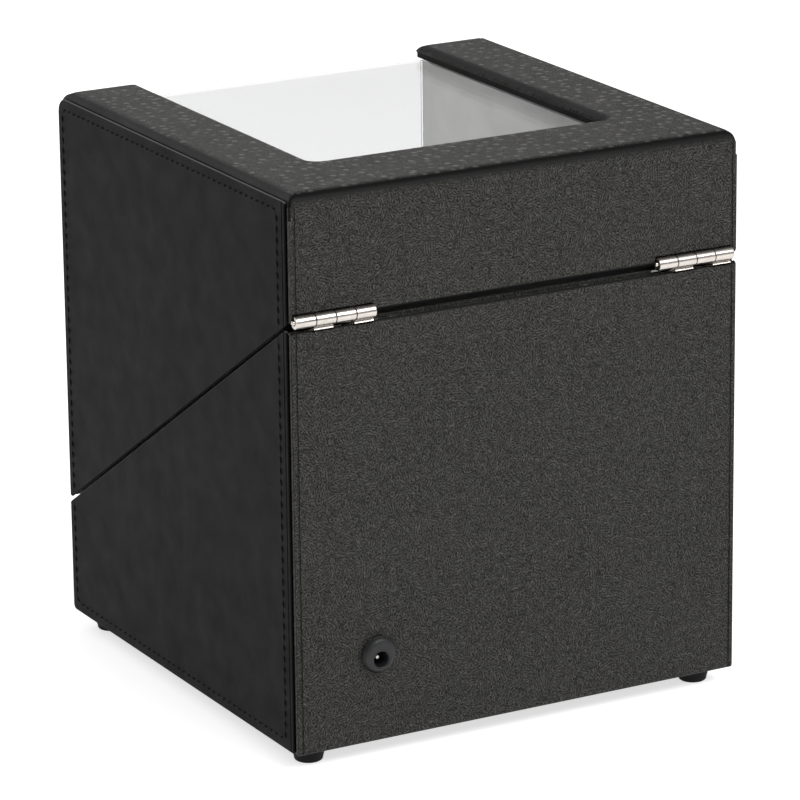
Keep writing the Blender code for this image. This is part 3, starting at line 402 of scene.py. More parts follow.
def thread():
    """Twisted black sewing thread."""
    paint = Paint("thread_look")
    place = paint.place()
    _, y, z = paint.split(place)
    twist = paint.math("SINE", paint.math("MULTIPLY", paint.math("ADD", y, z), 9.0))
    twist = paint.spread(twist, -1, 1)
    paint.colour(paint.mixed(twist, (0.001, 0.001, 0.001), (0.002, 0.002, 0.002)))
    paint.bump(twist, 0.06)
    paint.rough(paint.spread(paint.noise(place, 1.0), 0.3, 0.7, 0.6, 0.8))
    paint.set(specular_ior_level=0.1)
    return paint.material


def felt():
    """Dark felt of short crossed hairs."""
    paint = Paint("felt_look")
    place = paint.place()
    hairs = paint.noise(paint.shift(place, 1.0, 2.0), 0.5, detail=5, roughness=0.7)
    tone = paint.spread(hairs, 0.35, 0.7)
    paint.colour(paint.mixed(tone, (0.006, 0.006, 0.006), (0.03, 0.03, 0.03)))
    paint.rough(paint.spread(hairs, 0.3, 0.7, 0.9, 1.0))
    paint.bump(hairs, 0.25)
    paint.set(specular_ior_level=0.1)
    return paint.material


TEXTURED = textured_leather()
SMOOTH = smooth_leather()
LINING = velvet("lining_look", (0.71, 0.71, 0.70), (0.86, 0.86, 0.85))
CUSHION = velvet("cushion_look", (0.42, 0.41, 0.40), (0.62, 0.61, 0.59))
ACRYLIC = acrylic()
BLACK = plastic("black_plastic_look", (0.013, 0.0135, 0.0142), 0.42, 0.01)
WHITE = plastic("white_plastic_look", (0.62, 0.62, 0.60), 0.45)
RUBBER = plastic("rubber_look", (0.004, 0.004, 0.004), 0.66, 0.03, shine=0.12)
CABLE = plastic("cable_look", (0.02, 0.02, 0.02), 0.5)
SEAL = plastic("rail_look", (0.004, 0.004, 0.004), 0.62, 0.03, shine=0.12)
CIRCUIT = plastic("circuit_look", (0.02, 0.13, 0.05), 0.4)
NICKEL = metal("nickel_look", (0.60, 0.56, 0.52), 0.22, 0.006)
STEEL = metal("steel_look", (0.55, 0.55, 0.54), 0.34, 0.008)
BRASS = metal("brass_look", (0.78, 0.58, 0.28), 0.3, 0.006)
THREAD = thread()
FELT = felt()
MARK = plastic("white_mark_look", (0.7, 0.7, 0.7), 0.5)

SLOT_LOOKS = {
    "textured_leather": TEXTURED,
    "smooth_leather": SMOOTH,
    "grey_lining": LINING,
    "cushion_cloth": CUSHION,
    "acrylic": ACRYLIC,
    "black_plastic": BLACK,
    "white_plastic": WHITE,
    "nickel": NICKEL,
    "steel": STEEL,
    "brass": BRASS,
    "rubber": RUBBER,
    "felt": FELT,
    "circuit_green": CIRCUIT,
    "cable": CABLE,
}
for part in frame["record"]["subparts"]:
    node = frame["nodes"][part["node"]]
    node.data.materials.clear()
    node.data.materials.append(SLOT_LOOKS[part["material_slot"]])
frame["nodes"]["pane_rail"].data.materials[0] = SEAL

# ---------------------------------------------------------------- shape tools

scratch = []


def new_object(name, mesh, material=None):
    made = bpy.data.objects.new(name, mesh)
    bpy.context.scene.collection.objects.link(made)
    if material:
        mesh.materials.clear()
        mesh.materials.append(material)
    return made


def helper(mesh):
    """A cutter or a half-made shape, deleted at the end."""
    made = new_object("helper", mesh)
    scratch.append(made)
    return made


def from_bmesh(shape):
    mesh = bpy.data.meshes.new("shape")
    bmesh.ops.recalc_face_normals(shape, faces=shape.faces)
    shape.to_mesh(mesh)
    shape.free()
    return mesh


def box_mesh(low, high):
    shape = bmesh.new()
    bmesh.ops.create_cube(shape, size=1.0)
    bmesh.ops.scale(shape, vec=[b - a for a, b in zip(low, high)], verts=shape.verts)
    bmesh.ops.translate(shape, vec=[(a + b) / 2 for a, b in zip(low, high)], verts=shape.verts)
    return from_bmesh(shape)


def plate_mesh(outline, thickness):
    """A flat plate from z = 0 up, inside one outline."""
    shape = bmesh.new()
    low = [shape.verts.new((x, y, 0)) for x, y in outline]
    high = [shape.verts.new((x, y, thickness)) for x, y in outline]
    shape.faces.new(reversed(low))
    shape.faces.new(high)
    for i in range(len(outline)):
        j = (i + 1) % len(outline)
        shape.faces.new((low[i], low[j], high[j], high[i]))
    return from_bmesh(shape)


def rounded(corners, radii, steps=6):
    """The outline through these corners, each turned into an arc of its own radius."""
    outline = []
    count = len(corners)
    for i, (corner, radius) in enumerate(zip(corners, radii)):
        here = Vector(corner)
        to_last = (Vector(corners[i - 1]) - here).normalized()
        to_next = (Vector(corners[(i + 1) % count]) - here).normalized()
        if radius == 0:
            outline.append(tuple(here))
            continue
        half = to_last.angle(to_next) / 2
        reach = radius / math.tan(half)
        centre = here + (to_last + to_next).normalized() * (radius / math.sin(half))
        start = here + to_last * reach - centre
        end = here + to_next * reach - centre
        sweep = start.angle_signed(end)
        for step in range(steps + 1):
            outline.append(tuple(centre + Matrix.Rotation(-sweep * step / steps, 2) @ start))
    return outline


def upright(outline, low, high):
    """A plate whose outline is in (y, z), from x = low to x = high."""
    mesh = plate_mesh(outline, high - low)
    turn = Matrix(((0, 0, 1, low), (1, 0, 0, 0), (0, 1, 0, 0), (0, 0, 0, 1)))
    mesh.transform(turn)
    return mesh


def lathe_mesh(profile, steps=64, matrix=None):
    """A solid turned round Z from (radius, height) points. Points on the axis close it."""
    shape = bmesh.new()
    rings = []
    for radius, height in profile:
        if radius < 1e-9:
            rings.append([shape.verts.new((0, 0, height))] * steps)
            continue
        turns = [2 * math.pi * i / steps for i in range(steps)]
        rings.append(
            [shape.verts.new((radius * math.cos(a), radius * math.sin(a), height)) for a in turns]
        )
    pairs = list(zip(rings, rings[1:]))
    if profile[0][0] > 1e-9 and profile[-1][0] > 1e-9:
        pairs.append((rings[-1], rings[0]))
    for first, second in pairs:
        for i in range(steps):
            j = (i + 1) % steps
            corners = list(dict.fromkeys((first[i], first[j], second[j], second[i])))
            if len(corners) > 2:
                shape.faces.new(corners)
    mesh = from_bmesh(shape)
    if matrix is not None:
        mesh.transform(matrix)
    return mesh


def rod_mesh(radius, low, high, steps, matrix):
    """A round bar along Z, put in its place."""
    return lathe_mesh([(0, low), (radius, low), (radius, high), (0, high)], steps, matrix)


def arc(centre, radius, start, end, steps=5):
    """Points of an arc in (radius, height), with angles in degrees."""
    points = []
    for i in range(steps + 1):
        angle = math.radians(start + (end - start) * i / steps)
        points.append((centre[0] + radius * math.cos(angle), centre[1] + radius * math.sin(angle)))
    return points


def boolean(obj, operation, *meshes):
    for mesh in meshes:
        made = obj.modifiers.new("shape", "BOOLEAN")
        made.operation = operation
        made.solver = "EXACT"
        made.object = helper(mesh)


def bevel(obj, width, segments, angle=30):
    made = obj.modifiers.new("rounding", "BEVEL")
    made.width = width
    made.segments = segments
    made.limit_method = "ANGLE"
    made.angle_limit = math.radians(angle)
    made.use_clamp_overlap = True
    return made


def weighted_bevel(obj, width, segments, weight_of):
    """Rounds each edge by width times weight_of(its first point, its second point)."""
    mesh = obj.data
    weights = mesh.attributes.new("bevel_weight_edge", "FLOAT", "EDGE")
    for edge, weight in zip(mesh.edges, weights.data):
        weight.value = weight_of(*(mesh.vertices[i].co for i in edge.vertices))
    bevel(obj, width, segments).limit_method = "WEIGHT"
    settle(obj)


def settle(obj):
    """Applies the modifiers."""
    graph = bpy.context.evaluated_depsgraph_get()
    mesh = bpy.data.meshes.new_from_object(obj.evaluated_get(graph))
    materials = list(obj.data.materials)
    obj.modifiers.clear()
    obj.data = mesh
    mesh.materials.clear()
    for material in materials:
        mesh.materials.append(material)


def smooth(obj, angle=38, weighted=True):
    """Shades smooth all but the edges sharper than that many degrees."""
    obj.data.shade_smooth()
    obj.data.set_sharp_from_angle(angle=math.radians(angle))
    if weighted:
        made = obj.modifiers.new("even_shading", "WEIGHTED_NORMAL")
        made.keep_sharp = True


def finish_piece(obj, body, slot, *replaced):
    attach(obj, body)
    if replaced:
        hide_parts(*replaced)


def turned(name, profile, steps, material, place, angle=35, weighted=True):
    """A smoothly shaded piece turned on a lathe and put in its place."""
    made = new_object(name, lathe_mesh(profile, steps, place), material)
    smooth(made, angle, weighted)
    return made


def join_meshes(name, meshes, material):
    """One object out of several meshes."""
    shape = bmesh.new()
    for mesh in meshes:
        shape.from_mesh(mesh)
    whole = bpy.data.meshes.new(name)
    shape.to_mesh(whole)
    shape.free()
    return new_object(name, whole, material)


def bed(sign):
    """The bed that a side's leather panel lies in."""
    low, high = sorted((sign * BOARD_SIDE, sign * 2 * SIDE))
    return box_mesh((low, 2 * FRONT, -TOP), (high, BACK - 1.3 * MM, PANEL_HIGH.z + GAP))


PIN_HEAD = 0.9 * MM
PINS = {side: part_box(f"hinge_pin_{side}") for side, _ in SIDES}
HINGE_LENGTH = PINS["right"][1].x - PINS["right"][0].x - PIN_HEAD
HINGE_CENTRES = {side: (low.x + high.x - PIN_HEAD) / 2 for side, (low, high) in PINS.items()}
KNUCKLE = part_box("hinge_base_leaf_right")[1].y - HINGE.y
LEAF_THICK = 0.8 * MM
SLOT_REACH = 9 * MM


def hinge_slots(lower):
    """The cut-outs that the hinges need in a slanted edge."""
    meshes = []
    for x in HINGE_CENTRES.values():
        half = HINGE_LENGTH / 2 + GAP
        depth = KNUCKLE + GAP
        span = (-depth, WALL) if lower else (-WALL, depth)
        slots = [box_mesh((x - half, -SLOT_REACH, span[0]), (x + half, WALL, span[1]))]
        if lower:
            # Room for the ends of the rolled sheet under the second and fourth knuckle.
            pitch = half / 2
            for right in (x + pitch, x - pitch):
                low = (right - pitch, -SLOT_REACH, -depth - LEAF_THICK)
                slots.append(box_mesh(low, (right + GAP, WALL, 0)))
        for slot in slots:
            slot.transform(HINGE_FRAME)
        meshes.extend(slots)
    return meshes


def crease(x, y):
    """A thin upright cutter, which leaves the shallow line of a fold in the leather."""
    return rod_mesh(0.4 * MM, 0, 2 * TOP, 16, Matrix.Translation((x, y, -TOP / 2)))


def corner_lines():
    """The line that the folded leather leaves beside each back corner."""
    x = WRAP_SIDE - CREASE_INSET
    return [crease(sign * x, BACK + 0.14 * MM) for sign in (-1, 1)]


# ---------------------------------------------------------------- wrapped boards


def lid_shell():
    """Top frame, back and front of the lid, under one leather wrap with no seam."""
    thick = TOP - FRAME_LOW.z
    corners = [
        (-WRAP_SIDE, FRONT),
        (-WINDOW_HALF, FRONT),
        (-WINDOW_HALF, WINDOW_BACK),
        (WINDOW_HALF, WINDOW_BACK),
        (WINDOW_HALF, FRONT),
        (WRAP_SIDE, FRONT),
        (WRAP_SIDE, BACK),
        (-WRAP_SIDE, BACK),
    ]
    radii = [0, 0, 4 * MM, 4 * MM, 0, 0, 0, 0]
    mesh = plate_mesh(rounded(corners, radii), thick)
    shell = new_object("lid_shell", mesh, TEXTURED)
    mesh.transform(Matrix.Translation((0, 0, TOP - thick)))

    def top_weight(first, second):
        middle = (first + second) / 2
        at_front = middle.y < FRONT + MM
        inner = abs(middle.x) < WINDOW_HALF + MM and middle.y < WINDOW_BACK + MM
        if min(first.z, second.z) > TOP - MM:
            size = FRONT_ROUND if at_front else (LIP_ROUND if inner else TOP_ROUND)
            return size / FRONT_ROUND
        if abs(first.z - second.z) > MM:
            return 0.26 if at_front else (0.12 if middle.y > BACK - MM else 0.0)
        return 0.0

    weighted_bevel(shell, FRONT_ROUND, 7, top_weight)

    edge_z = TOP - FRONT_ROUND - 0.5 * MM
    boards = []
    for face_y, near, far, radii in (
        (BACK, BACK - WALL, BACK, [0.6 * MM, 1.8 * MM, 0, 0]),
        (FRONT, FRONT, FRONT + WALL, [2.2 * MM, 0.8 * MM, 0, 0]),
    ):
        low = [(y, off_split(y, SPLIT_GAP)) for y in (near, far)]
        outline = rounded([*low, (far, edge_z), (near, edge_z)], radii)
        board = helper(upright(outline, -WRAP_SIDE, WRAP_SIDE))
        weighted_bevel(board, MM, 3, lambda a, b: outer_edge(a, b, face_y, 1e-6))
        boards.append(board)
    half = RABBET_SIDE + GAP
    opening = box_mesh((-half, FRONT - WALL, WINDOW_LOW), (half, FRONT + 2 * WALL, 2 * TOP))
    boolean(boards[1], "DIFFERENCE", opening)
    settle(boards[1])
    boolean(shell, "UNION", *[board.data for board in boards])
    rabbet = box_mesh(
        (-RABBET_SIDE, 2 * FRONT, TOP - 30 * MM), (RABBET_SIDE, RABBET_BACK, TOP - TOP_LIP)
    )
    boolean(shell, "DIFFERENCE", rabbet, bed(-1), bed(1), *hinge_slots(False), *corner_lines())
    settle(shell)
    smooth(shell)
    replaced = "lid_top_frame", "lid_back_board", "lid_front_frame"
    finish_piece(shell, "lid", "textured_leather", *replaced)


def outer_edge(first, second, face_y, reach):
    """1 for an edge that runs up the outer face at y = face_y, 0 for the others."""
    near = max(abs(first.y - face_y), abs(second.y - face_y)) < reach
    return 1.0 if near and abs(first.x - second.x) < 1e-6 else 0.0


def base_wrap(name, outline, radii, face_y, node, *cuts):
    wrap = new_object(name, upright(rounded(outline, radii), -WRAP_SIDE, WRAP_SIDE), TEXTURED)
    weighted_bevel(wrap, 0.9 * MM, 3, lambda a, b: outer_edge(a, b, face_y, 2.2 * MM))
    boolean(wrap, "DIFFERENCE", bed(-1), bed(1), *cuts)
    settle(wrap)
    smooth(wrap)
    finish_piece(wrap, "base", "textured_leather", node)


def base_boards():
    """The front and back of the base. The back has a step in its top edge, behind the lid's."""
    jack_hole = rod_mesh(5.6 * MM, 2 * WALL, -2 * WALL, 64, JACK_PLACE)
    inner = BACK - WALL
    step = BACK - 2.6 * MM
    gap = -1.9 * MM
    base_wrap(
        "base_back_wrap",
        [
            (inner, FLOOR),
            (BACK, FLOOR),
            (BACK, off_split(BACK, gap)),
            (step, off_split(step, gap)),
            (step, off_split(step, -GAP)),
            (inner, off_split(inner, -GAP)),
        ],
        [0.5 * MM, 1.4 * MM, 1.2 * MM, 0, 0.2 * MM, 0.6 * MM],
        BACK,
        "base_back_board",
        jack_hole,
        *hinge_slots(True),
        *corner_lines(),
    )
    inner = FRONT + WALL
    gap = -SPLIT_GAP
    base_wrap(
        "base_front_wrap",
        [
            (FRONT, FLOOR),
            (inner, FLOOR),
            (inner, off_split(inner, gap)),
            (FRONT, off_split(FRONT, gap)),
        ],
        [1.4 * MM, 0.5 * MM, 0.8 * MM, 1.6 * MM],
        FRONT,
        "base_front_board",
        magnet_hole(),
    )


def magnet_hole():
    low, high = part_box("catch_magnet")
    y = FRONT + WALL / 2
    top = Matrix.Translation(((low.x + high.x) / 2, y, split_z(y)))
    return rod_mesh(3.2 * MM, 0, -3.3 * MM, 32, top @ Matrix.Rotation(SLANT, 4, "X"))


# ---------------------------------------------------------------- side panels and their stitching

STITCH = 2.7 * MM
STITCH_PITCH = 4.0 * MM
STITCH_TOP = 6.7 * MM
STITCH_FRONT = 3.5 * MM
STITCH_BACK = 8.4 * MM
STITCH_BOTTOM = 3.8 * MM


def stitch_path(corners, radius=3.0 * MM):
    """The points of a seam, with its inner corners turned into curves."""
    rich = [Vector(corners[0])]
    for i in range(1, len(corners) - 1):
        here = Vector(corners[i])
        back = (Vector(corners[i - 1]) - here).normalized()
        ahead = (Vector(corners[i + 1]) - here).normalized()
        start, end = here + back * radius, here + ahead * radius
        for step in range(9):
            t = step / 8
            rich.append((1 - t) ** 2 * start + 2 * t * (1 - t) * here + t**2 * end)
    rich.append(Vector(corners[-1]))
    return rich


def tube_along(points, radius, sides):
    """A closed tube round 3-D points. Its radius may be a function of the share of the way."""
    shape = bmesh.new()
    rings = []
    for i, point in enumerate(points):
        ahead = points[min(i + 1, len(points) - 1)] - points[max(i - 1, 0)]
        ahead.normalize()
        across = ahead.cross(Vector((1, 0, 0))).normalized()
        up = ahead.cross(across)
        size = radius(i / (len(points) - 1)) if callable(radius) else radius
        rings.append(
            [
                shape.verts.new(
                    point
                    + across * (size * math.cos(2 * math.pi * k / sides))
                    + up * (size * math.sin(2 * math.pi * k / sides))
                )
                for k in range(sides)
            ]
        )
    for first, second in zip(rings, rings[1:]):
        for k in range(sides):
            m = (k + 1) % sides
            shape.faces.new((first[k], first[m], second[m], second[k]))
    shape.faces.new(rings[0])
    shape.faces.new(rings[-1])
    return from_bmesh(shape)


def stitch_radius(t):
    return (0.22 + 0.24 * math.sin(math.pi * t) ** 0.5) * MM


def along(path, distance):
    """The point that far along a path, and the direction there."""
    for first, second in zip(path, path[1:]):
        step = (second - first).length
        if distance <= step:
            return first.lerp(second, distance / step), (second - first).normalized()
        distance -= step
    return path[-1].copy(), (path[-1] - path[-2]).normalized()


def panel(body, side, sign, corners, radii, seam):
    """A leather panel with a sunk seam, and the thread in it. Corners and seam are in (y, z)."""
    low, high = sorted((sign * PANEL_LOW.x, sign * SIDE))
    sheet = upright(rounded(corners, radii), low, high)
    leather = new_object(f"{body}_panel_{side}", sheet, SMOOTH)
    bevel(leather, 0.42 * MM, 4)
    settle(leather)
    path = stitch_path(seam)
    surface = sign * SIDE
    groove = [Vector((surface + sign * 0.62 * MM, p.x, p.y)) for p in path]
    ahead = (groove[-1] - groove[-2]).normalized() * 8 * MM
    behind = (groove[0] - groove[1]).normalized() * 8 * MM
    seam_cut = tube_along([groove[0] + behind, *groove, groove[-1] + ahead], 0.72 * MM, 16)
    fold = crease(surface + sign * 0.16 * MM, PANEL_HIGH.y - CREASE_INSET)
    boolean(leather, "DIFFERENCE", seam_cut, fold)
    settle(leather)
    bevel(leather, 0.16 * MM, 2, 32)
    settle(leather)
    smooth(leather, 50)
    finish_piece(leather, body, "smooth_leather", f"{body}_side_panel_{side}")

    total = sum((b - a).length for a, b in zip(path, path[1:]))
    count = int((total - 3 * MM) / STITCH_PITCH)
    start = (total - count * STITCH_PITCH) / 2 + (STITCH_PITCH - STITCH) / 2
    meshes = []
    for i in range(count):
        points = []
        for k in range(9):
            t = k / 8
            place, ahead = along(path, start + i * STITCH_PITCH + t * STITCH)
            place += Vector((-ahead.y, ahead.x)) * (0.8 * (t - 0.5) * MM)
            rise = (-0.5 + 0.42 * math.sin(math.pi * t) ** 0.6) * MM
            points.append(Vector((surface + sign * rise, place.x, place.y)))
        meshes.append(tube_along(points, stitch_radius, 8))
    stitches = join_meshes(f"{body}_stitches_{side}", meshes, THREAD)
    smooth(stitches, 60, weighted=False)
    finish_piece(stitches, body, "smooth_leather")


def panels():
    front, back, top = PANEL_LOW.y, PANEL_HIGH.y, PANEL_HIGH.z
    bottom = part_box("base_side_panel_right")[0].z
    seam_front, seam_back = front + STITCH_FRONT, BACK - STITCH_BACK
    for side, sign in SIDES:
        for body, gap, turn_z in (
            ("lid", SPLIT_GAP, TOP - STITCH_TOP),
            ("base", -SPLIT_GAP, FLOOR + STITCH_BOTTOM),
        ):
            near, far = (front, off_split(front, gap)), (back, off_split(back, gap))
            if body == "lid":
                corners = [near, far, (back, top), (front, top)]
                radii = [MM, MM, MM, 5.5 * MM]
            else:
                corners = [(front, bottom), (back, bottom), far, near]
                radii = [2 * MM, MM, MM, MM]
            seam = [
                (seam_front, off_split(seam_front, gap)),
                (seam_front, turn_z),
                (seam_back, turn_z),
                (seam_back, off_split(seam_back, gap)),
            ]
            panel(body, side, sign, corners, radii, seam)


# ---------------------------------------------------------------- hinges


def knuckle(left, right):
    """A rolled tube from x = left to x = right, with softened ends."""
    soft = 0.22 * MM
    bore = 1.1 * MM
    profile = [
        (bore, left),
        (KNUCKLE - soft, left),
        (KNUCKLE - 0.06 * MM, left + 0.07 * MM),
        (KNUCKLE, left + soft),
        (KNUCKLE, right - soft),
        (KNUCKLE - 0.06 * MM, right - 0.07 * MM),
        (KNUCKLE - soft, right),
        (bore, right),
    ]
    return lathe_mesh(profile, 48, ALONG_X)


def leaf_plate(left, right, flip, front_y, back_y, offset=0.0):
    """A flat part of a leaf. flip is 1 in the lid and -1 in the base."""
    low, high = sorted((flip * (KNUCKLE + offset), flip * (KNUCKLE + offset - LEAF_THICK)))
    piece = helper(box_mesh((left, front_y, low), (right, back_y, high)))
    bevel(piece, 0.14 * MM, 2)
    settle(piece)
    return piece.data


def hinge(side):
    pitch = (HINGE_LENGTH + GAP) / 4
    start = HINGE_CENTRES[side] - HINGE_LENGTH / 2
    end = start + HINGE_LENGTH
    for body, flip, first in (("lid", 1, 0), ("base", -1, 1)):
        meshes = [leaf_plate(start, end, flip, -8.5 * MM, -6.0 * MM)]
        for number in (first, first + 2):
            right = end - number * pitch
            left = right - pitch + GAP
            meshes.append(knuckle(left, right))
            meshes.append(leaf_plate(left, right, flip, -6.2 * MM, -0.2 * MM))
            if body == "base":
                # The end of the rolled sheet stands a little away from the tube.
                meshes.append(leaf_plate(left, right, flip, -4.2 * MM, -1.9 * MM, LEAF_THICK))
        leaf = join_meshes(f"hinge_{body}_{side}", meshes, NICKEL)
        leaf.data.transform(HINGE_FRAME)
        smooth(leaf, 42)
        finish_piece(leaf, body, "nickel", f"hinge_{body}_leaf_{side}")
    radius = 0.8 * MM
    head = end + PIN_HEAD - 0.05 * MM
    profile = [
        (0, start),
        (radius, start),
        (radius, head - 0.3 * MM),
        (radius * 0.86, head - 0.1 * MM),
        (radius * 0.55, head),
        (0, head + 0.04 * MM),
    ]
    place = HINGE_FRAME @ ALONG_X
    pin = turned(f"hinge_rod_{side}", profile, 32, NICKEL, place, 42, weighted=False)
    finish_piece(pin, "base", "nickel", f"hinge_pin_{side}")


# ---------------------------------------------------------------- power jack

JACK_LOW, JACK_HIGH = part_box("jack_body")
JACK = (JACK_LOW + JACK_HIGH) / 2
FLANGE_LOW, FLANGE_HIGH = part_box("jack_flange")
JACK_PLACE = Matrix.Translation((JACK.x, BACK, JACK.z)) @ TO_BACK


def jack():
    centre = (FLANGE_LOW + FLANGE_HIGH) / 2
    radius = (FLANGE_HIGH.x - FLANGE_LOW.x) / 2
    proud = FLANGE_HIGH.y - BACK
    profile = [
        (0, proud),
        (radius - 2.2 * MM, proud),
        *arc((radius - 2.2 * MM, proud - 2.0 * MM), 2.0 * MM, 90, 12, 8),
        (radius, proud - 1.9 * MM),
        (radius - 0.15 * MM, proud - 2.15 * MM),
        (radius - 0.8 * MM, proud - 2.25 * MM),
        (radius - 0.9 * MM, GAP / 2),
        (0, GAP / 2),
    ]
    place = Matrix.Translation((centre.x, BACK, centre.z)) @ TO_BACK
    flange = new_object("jack_cap", lathe_mesh(profile, 96, place), BLACK)
    bore = 2.78 * MM
    cut = lathe_mesh(
        [
            (0, 8 * MM),
            (bore + 3 * MM, 8 * MM),
            (bore + 0.62 * MM, proud + 0.15 * MM),
            (bore + 0.50 * MM, proud - 0.16 * MM),
            (bore + 0.30 * MM, proud - 0.16 * MM),
            (bore + 0.12 * MM, proud - 0.3 * MM),
            (bore, proud - 0.5 * MM),
            (bore, -6 * MM),
            (0, -6 * MM),
        ],
        64,
        JACK_PLACE,
    )
    boolean(flange, "DIFFERENCE", cut)
    settle(flange)
    smooth(flange, 35)
    finish_piece(flange, "base", "black_plastic", "jack_flange")

    inner = 3.0 * MM
    outer = (JACK_HIGH.x - JACK_LOW.x) / 2
    depth = JACK_HIGH.y - JACK_LOW.y
    end = -9.7 * MM
    profile = [(inner, 0), (outer, 0), (outer, -depth), (0, -depth), (0, end), (inner, end)]
    barrel = turned("jack_barrel", profile, 64, BLACK, JACK_PLACE)
    finish_piece(barrel, "base", "black_plastic", "jack_body")

    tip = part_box("jack_pin")[1].y - BACK
    profile = [
        (0, tip),
        *arc((0.35 * MM, tip - 0.65 * MM), 0.65 * MM, 90, 0, 6),
        (MM, -9.4 * MM),
        (0, -9.4 * MM),
    ]
    contact = turned("jack_contact", profile, 32, NICKEL, JACK_PLACE, weighted=False)
    finish_piece(contact, "base", "nickel", "jack_pin")


# ---------------------------------------------------------------- feet

FEET = [f"{a}_{b}" for a in ("front", "back") for b in ("left", "right")]


def feet():
    for name in FEET:
        low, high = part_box(f"foot_{name}")
        place = Matrix.Translation(((low.x + high.x) / 2, (low.y + high.y) / 2, 0))
        top = high.z
        wide, narrow = 6.0 * MM, 5.05 * MM
        profile = [
            (1.7 * MM, top),
            (wide - 0.3 * MM, top),
            *arc((wide - 0.45 * MM, top - 0.45 * MM), 0.45 * MM, 90, 8, 4),
            (narrow + 0.1 * MM, 1.3 * MM),
            *arc((narrow - 1.0 * MM, 1.1 * MM), 1.1 * MM, 0, -90, 6),
            (3.3 * MM, 0),
            (3.0 * MM, 0.25 * MM),
            (3.0 * MM, 3.2 * MM),
            (1.7 * MM, 3.2 * MM),
        ]
        foot = turned(f"rubber_foot_{name}", profile, 64, RUBBER, place)
        finish_piece(foot, "base", "rubber", f"foot_{name}")

        head = 2.9 * MM
        profile = [
            (0, FLOOR + 10.9 * MM),
            (0.5 * MM, FLOOR + 10.3 * MM),
            (1.3 * MM, FLOOR + 8 * MM),
            (1.3 * MM, head),
            (2.5 * MM, head),
            (2.5 * MM, head - 0.5 * MM),
            (1.7 * MM, head - 1.3 * MM),
            (0.6 * MM, head - 1.55 * MM),
            (0, head - 1.6 * MM),
        ]
        screw = new_object(f"cross_screw_{name}", lathe_mesh(profile, 40), STEEL)
        for half_x, half_y in ((1.3 * MM, 0.25 * MM), (0.25 * MM, 1.3 * MM)):
            slot = box_mesh((-half_x, -half_y, 0), (half_x, half_y, head - 0.8 * MM))
            boolean(screw, "DIFFERENCE", slot)
        settle(screw)
        screw.data.transform(place)
        smooth(screw, 35)
        finish_piece(screw, "base", "steel", f"foot_screw_{name}")


# ---------------------------------------------------------------- turntable, cushions and controls


def on_deck(x, y):
    """The frame of a part that stands on the slanted deck."""
    return SLANTED @ Matrix.Translation((x, y, 0))


def turntable():
    inner, outer, low = 57.3 * MM, 60.5 * MM, -1.7 * MM
    top = -0.2 * MM
    profile = [
        (inner, low),
        (inner, top - 0.8 * MM),
        *arc((inner + 0.8 * MM, top - 0.8 * MM), 0.8 * MM, 180, 90, 5),
        *arc((outer - 0.9 * MM, top - 0.9 * MM), 0.9 * MM, 90, 0, 5),
        (outer, low),
    ]
    ring = turned("trim_ring", profile, 160, BLACK, SLANTED, 40)
    finish_piece(ring, "base", "black_plastic", "turntable_ring")


PILLOW_SIZE = Vector((33 * MM, 64 * MM, 42 * MM))
PILLOW_CAP = 5 * MM
STUFFING_STEPS = 20


def cushion(side):
    """A stuffed velvet pillow, blown up by cloth simulation from a slightly smaller block."""
    low, high = local_box(f"watch_cushion_{side}")
    centre = (low + high) / 2
    shape = bmesh.new()
    bmesh.ops.create_cube(shape, size=1.0)
    bmesh.ops.scale(shape, vec=PILLOW_SIZE * 0.86, verts=shape.verts)
    mesh = from_bmesh(shape)
    pillow = new_object(f"watch_pillow_{side}", mesh, CUSHION)
    bevel(pillow, 8 * MM, 4)
    settle(pillow)
    remesh = pillow.modifiers.new("even", "REMESH")
    remesh.mode = "VOXEL"
    remesh.voxel_size = 3.2 * MM
    settle(pillow)
    before = [v.co.copy() for v in pillow.data.vertices]
    cloth = pillow.modifiers.new("stuffing", "CLOTH")
    cloth.settings.use_pressure = True
    cloth.settings.uniform_pressure_force = 4
    cloth.settings.effector_weights.gravity = 0
    cloth.settings.quality = 6
    cloth.point_cache.frame_start = 1
    cloth.point_cache.frame_end = STUFFING_STEPS
    for number in range(1, STUFFING_STEPS + 1):
        bpy.context.scene.frame_set(number)
    settle(pillow)
    bpy.context.scene.frame_set(1)
    for vertex, start in zip(pillow.data.vertices, before):
        move = vertex.co - start
        if move.length > PILLOW_CAP:
            vertex.co = start + move.normalized() * PILLOW_CAP
    half = PILLOW_SIZE / 2
    for vertex in pillow.data.vertices:
        place = vertex.co
        # The seam that runs round the pillow's long middle is drawn in a little.
        draw = 1 - 0.045 * math.exp(-((place.z / (2.2 * MM)) ** 2))
        place.x *= draw
        place.y *= draw
        for axis in range(3):
            limit = half[axis] - 0.15 * MM
            place[axis] = max(-limit, min(limit, place[axis]))
    subdivide = pillow.modifiers.new("soft", "SUBSURF")
    subdivide.levels = 1
    subdivide.render_levels = 1
    settle(pillow)
    pillow.data.transform(SLANTED @ Matrix.Translation(centre))
    smooth(pillow, 80, weighted=False)
    finish_piece(pillow, f"cushion_{side}", "cushion_cloth", f"watch_cushion_{side}")


def local_box(node):
    """The box of a CAD node, square to the slanted deck."""
    back = SLANTED.inverted()
    points = [back @ v.co for v in frame["nodes"][node].data.vertices]
    low = Vector([min(p[i] for p in points) for i in range(3)])
    high = Vector([max(p[i] for p in points) for i in range(3)])
    return low, high


DIAL = 9.6 * MM


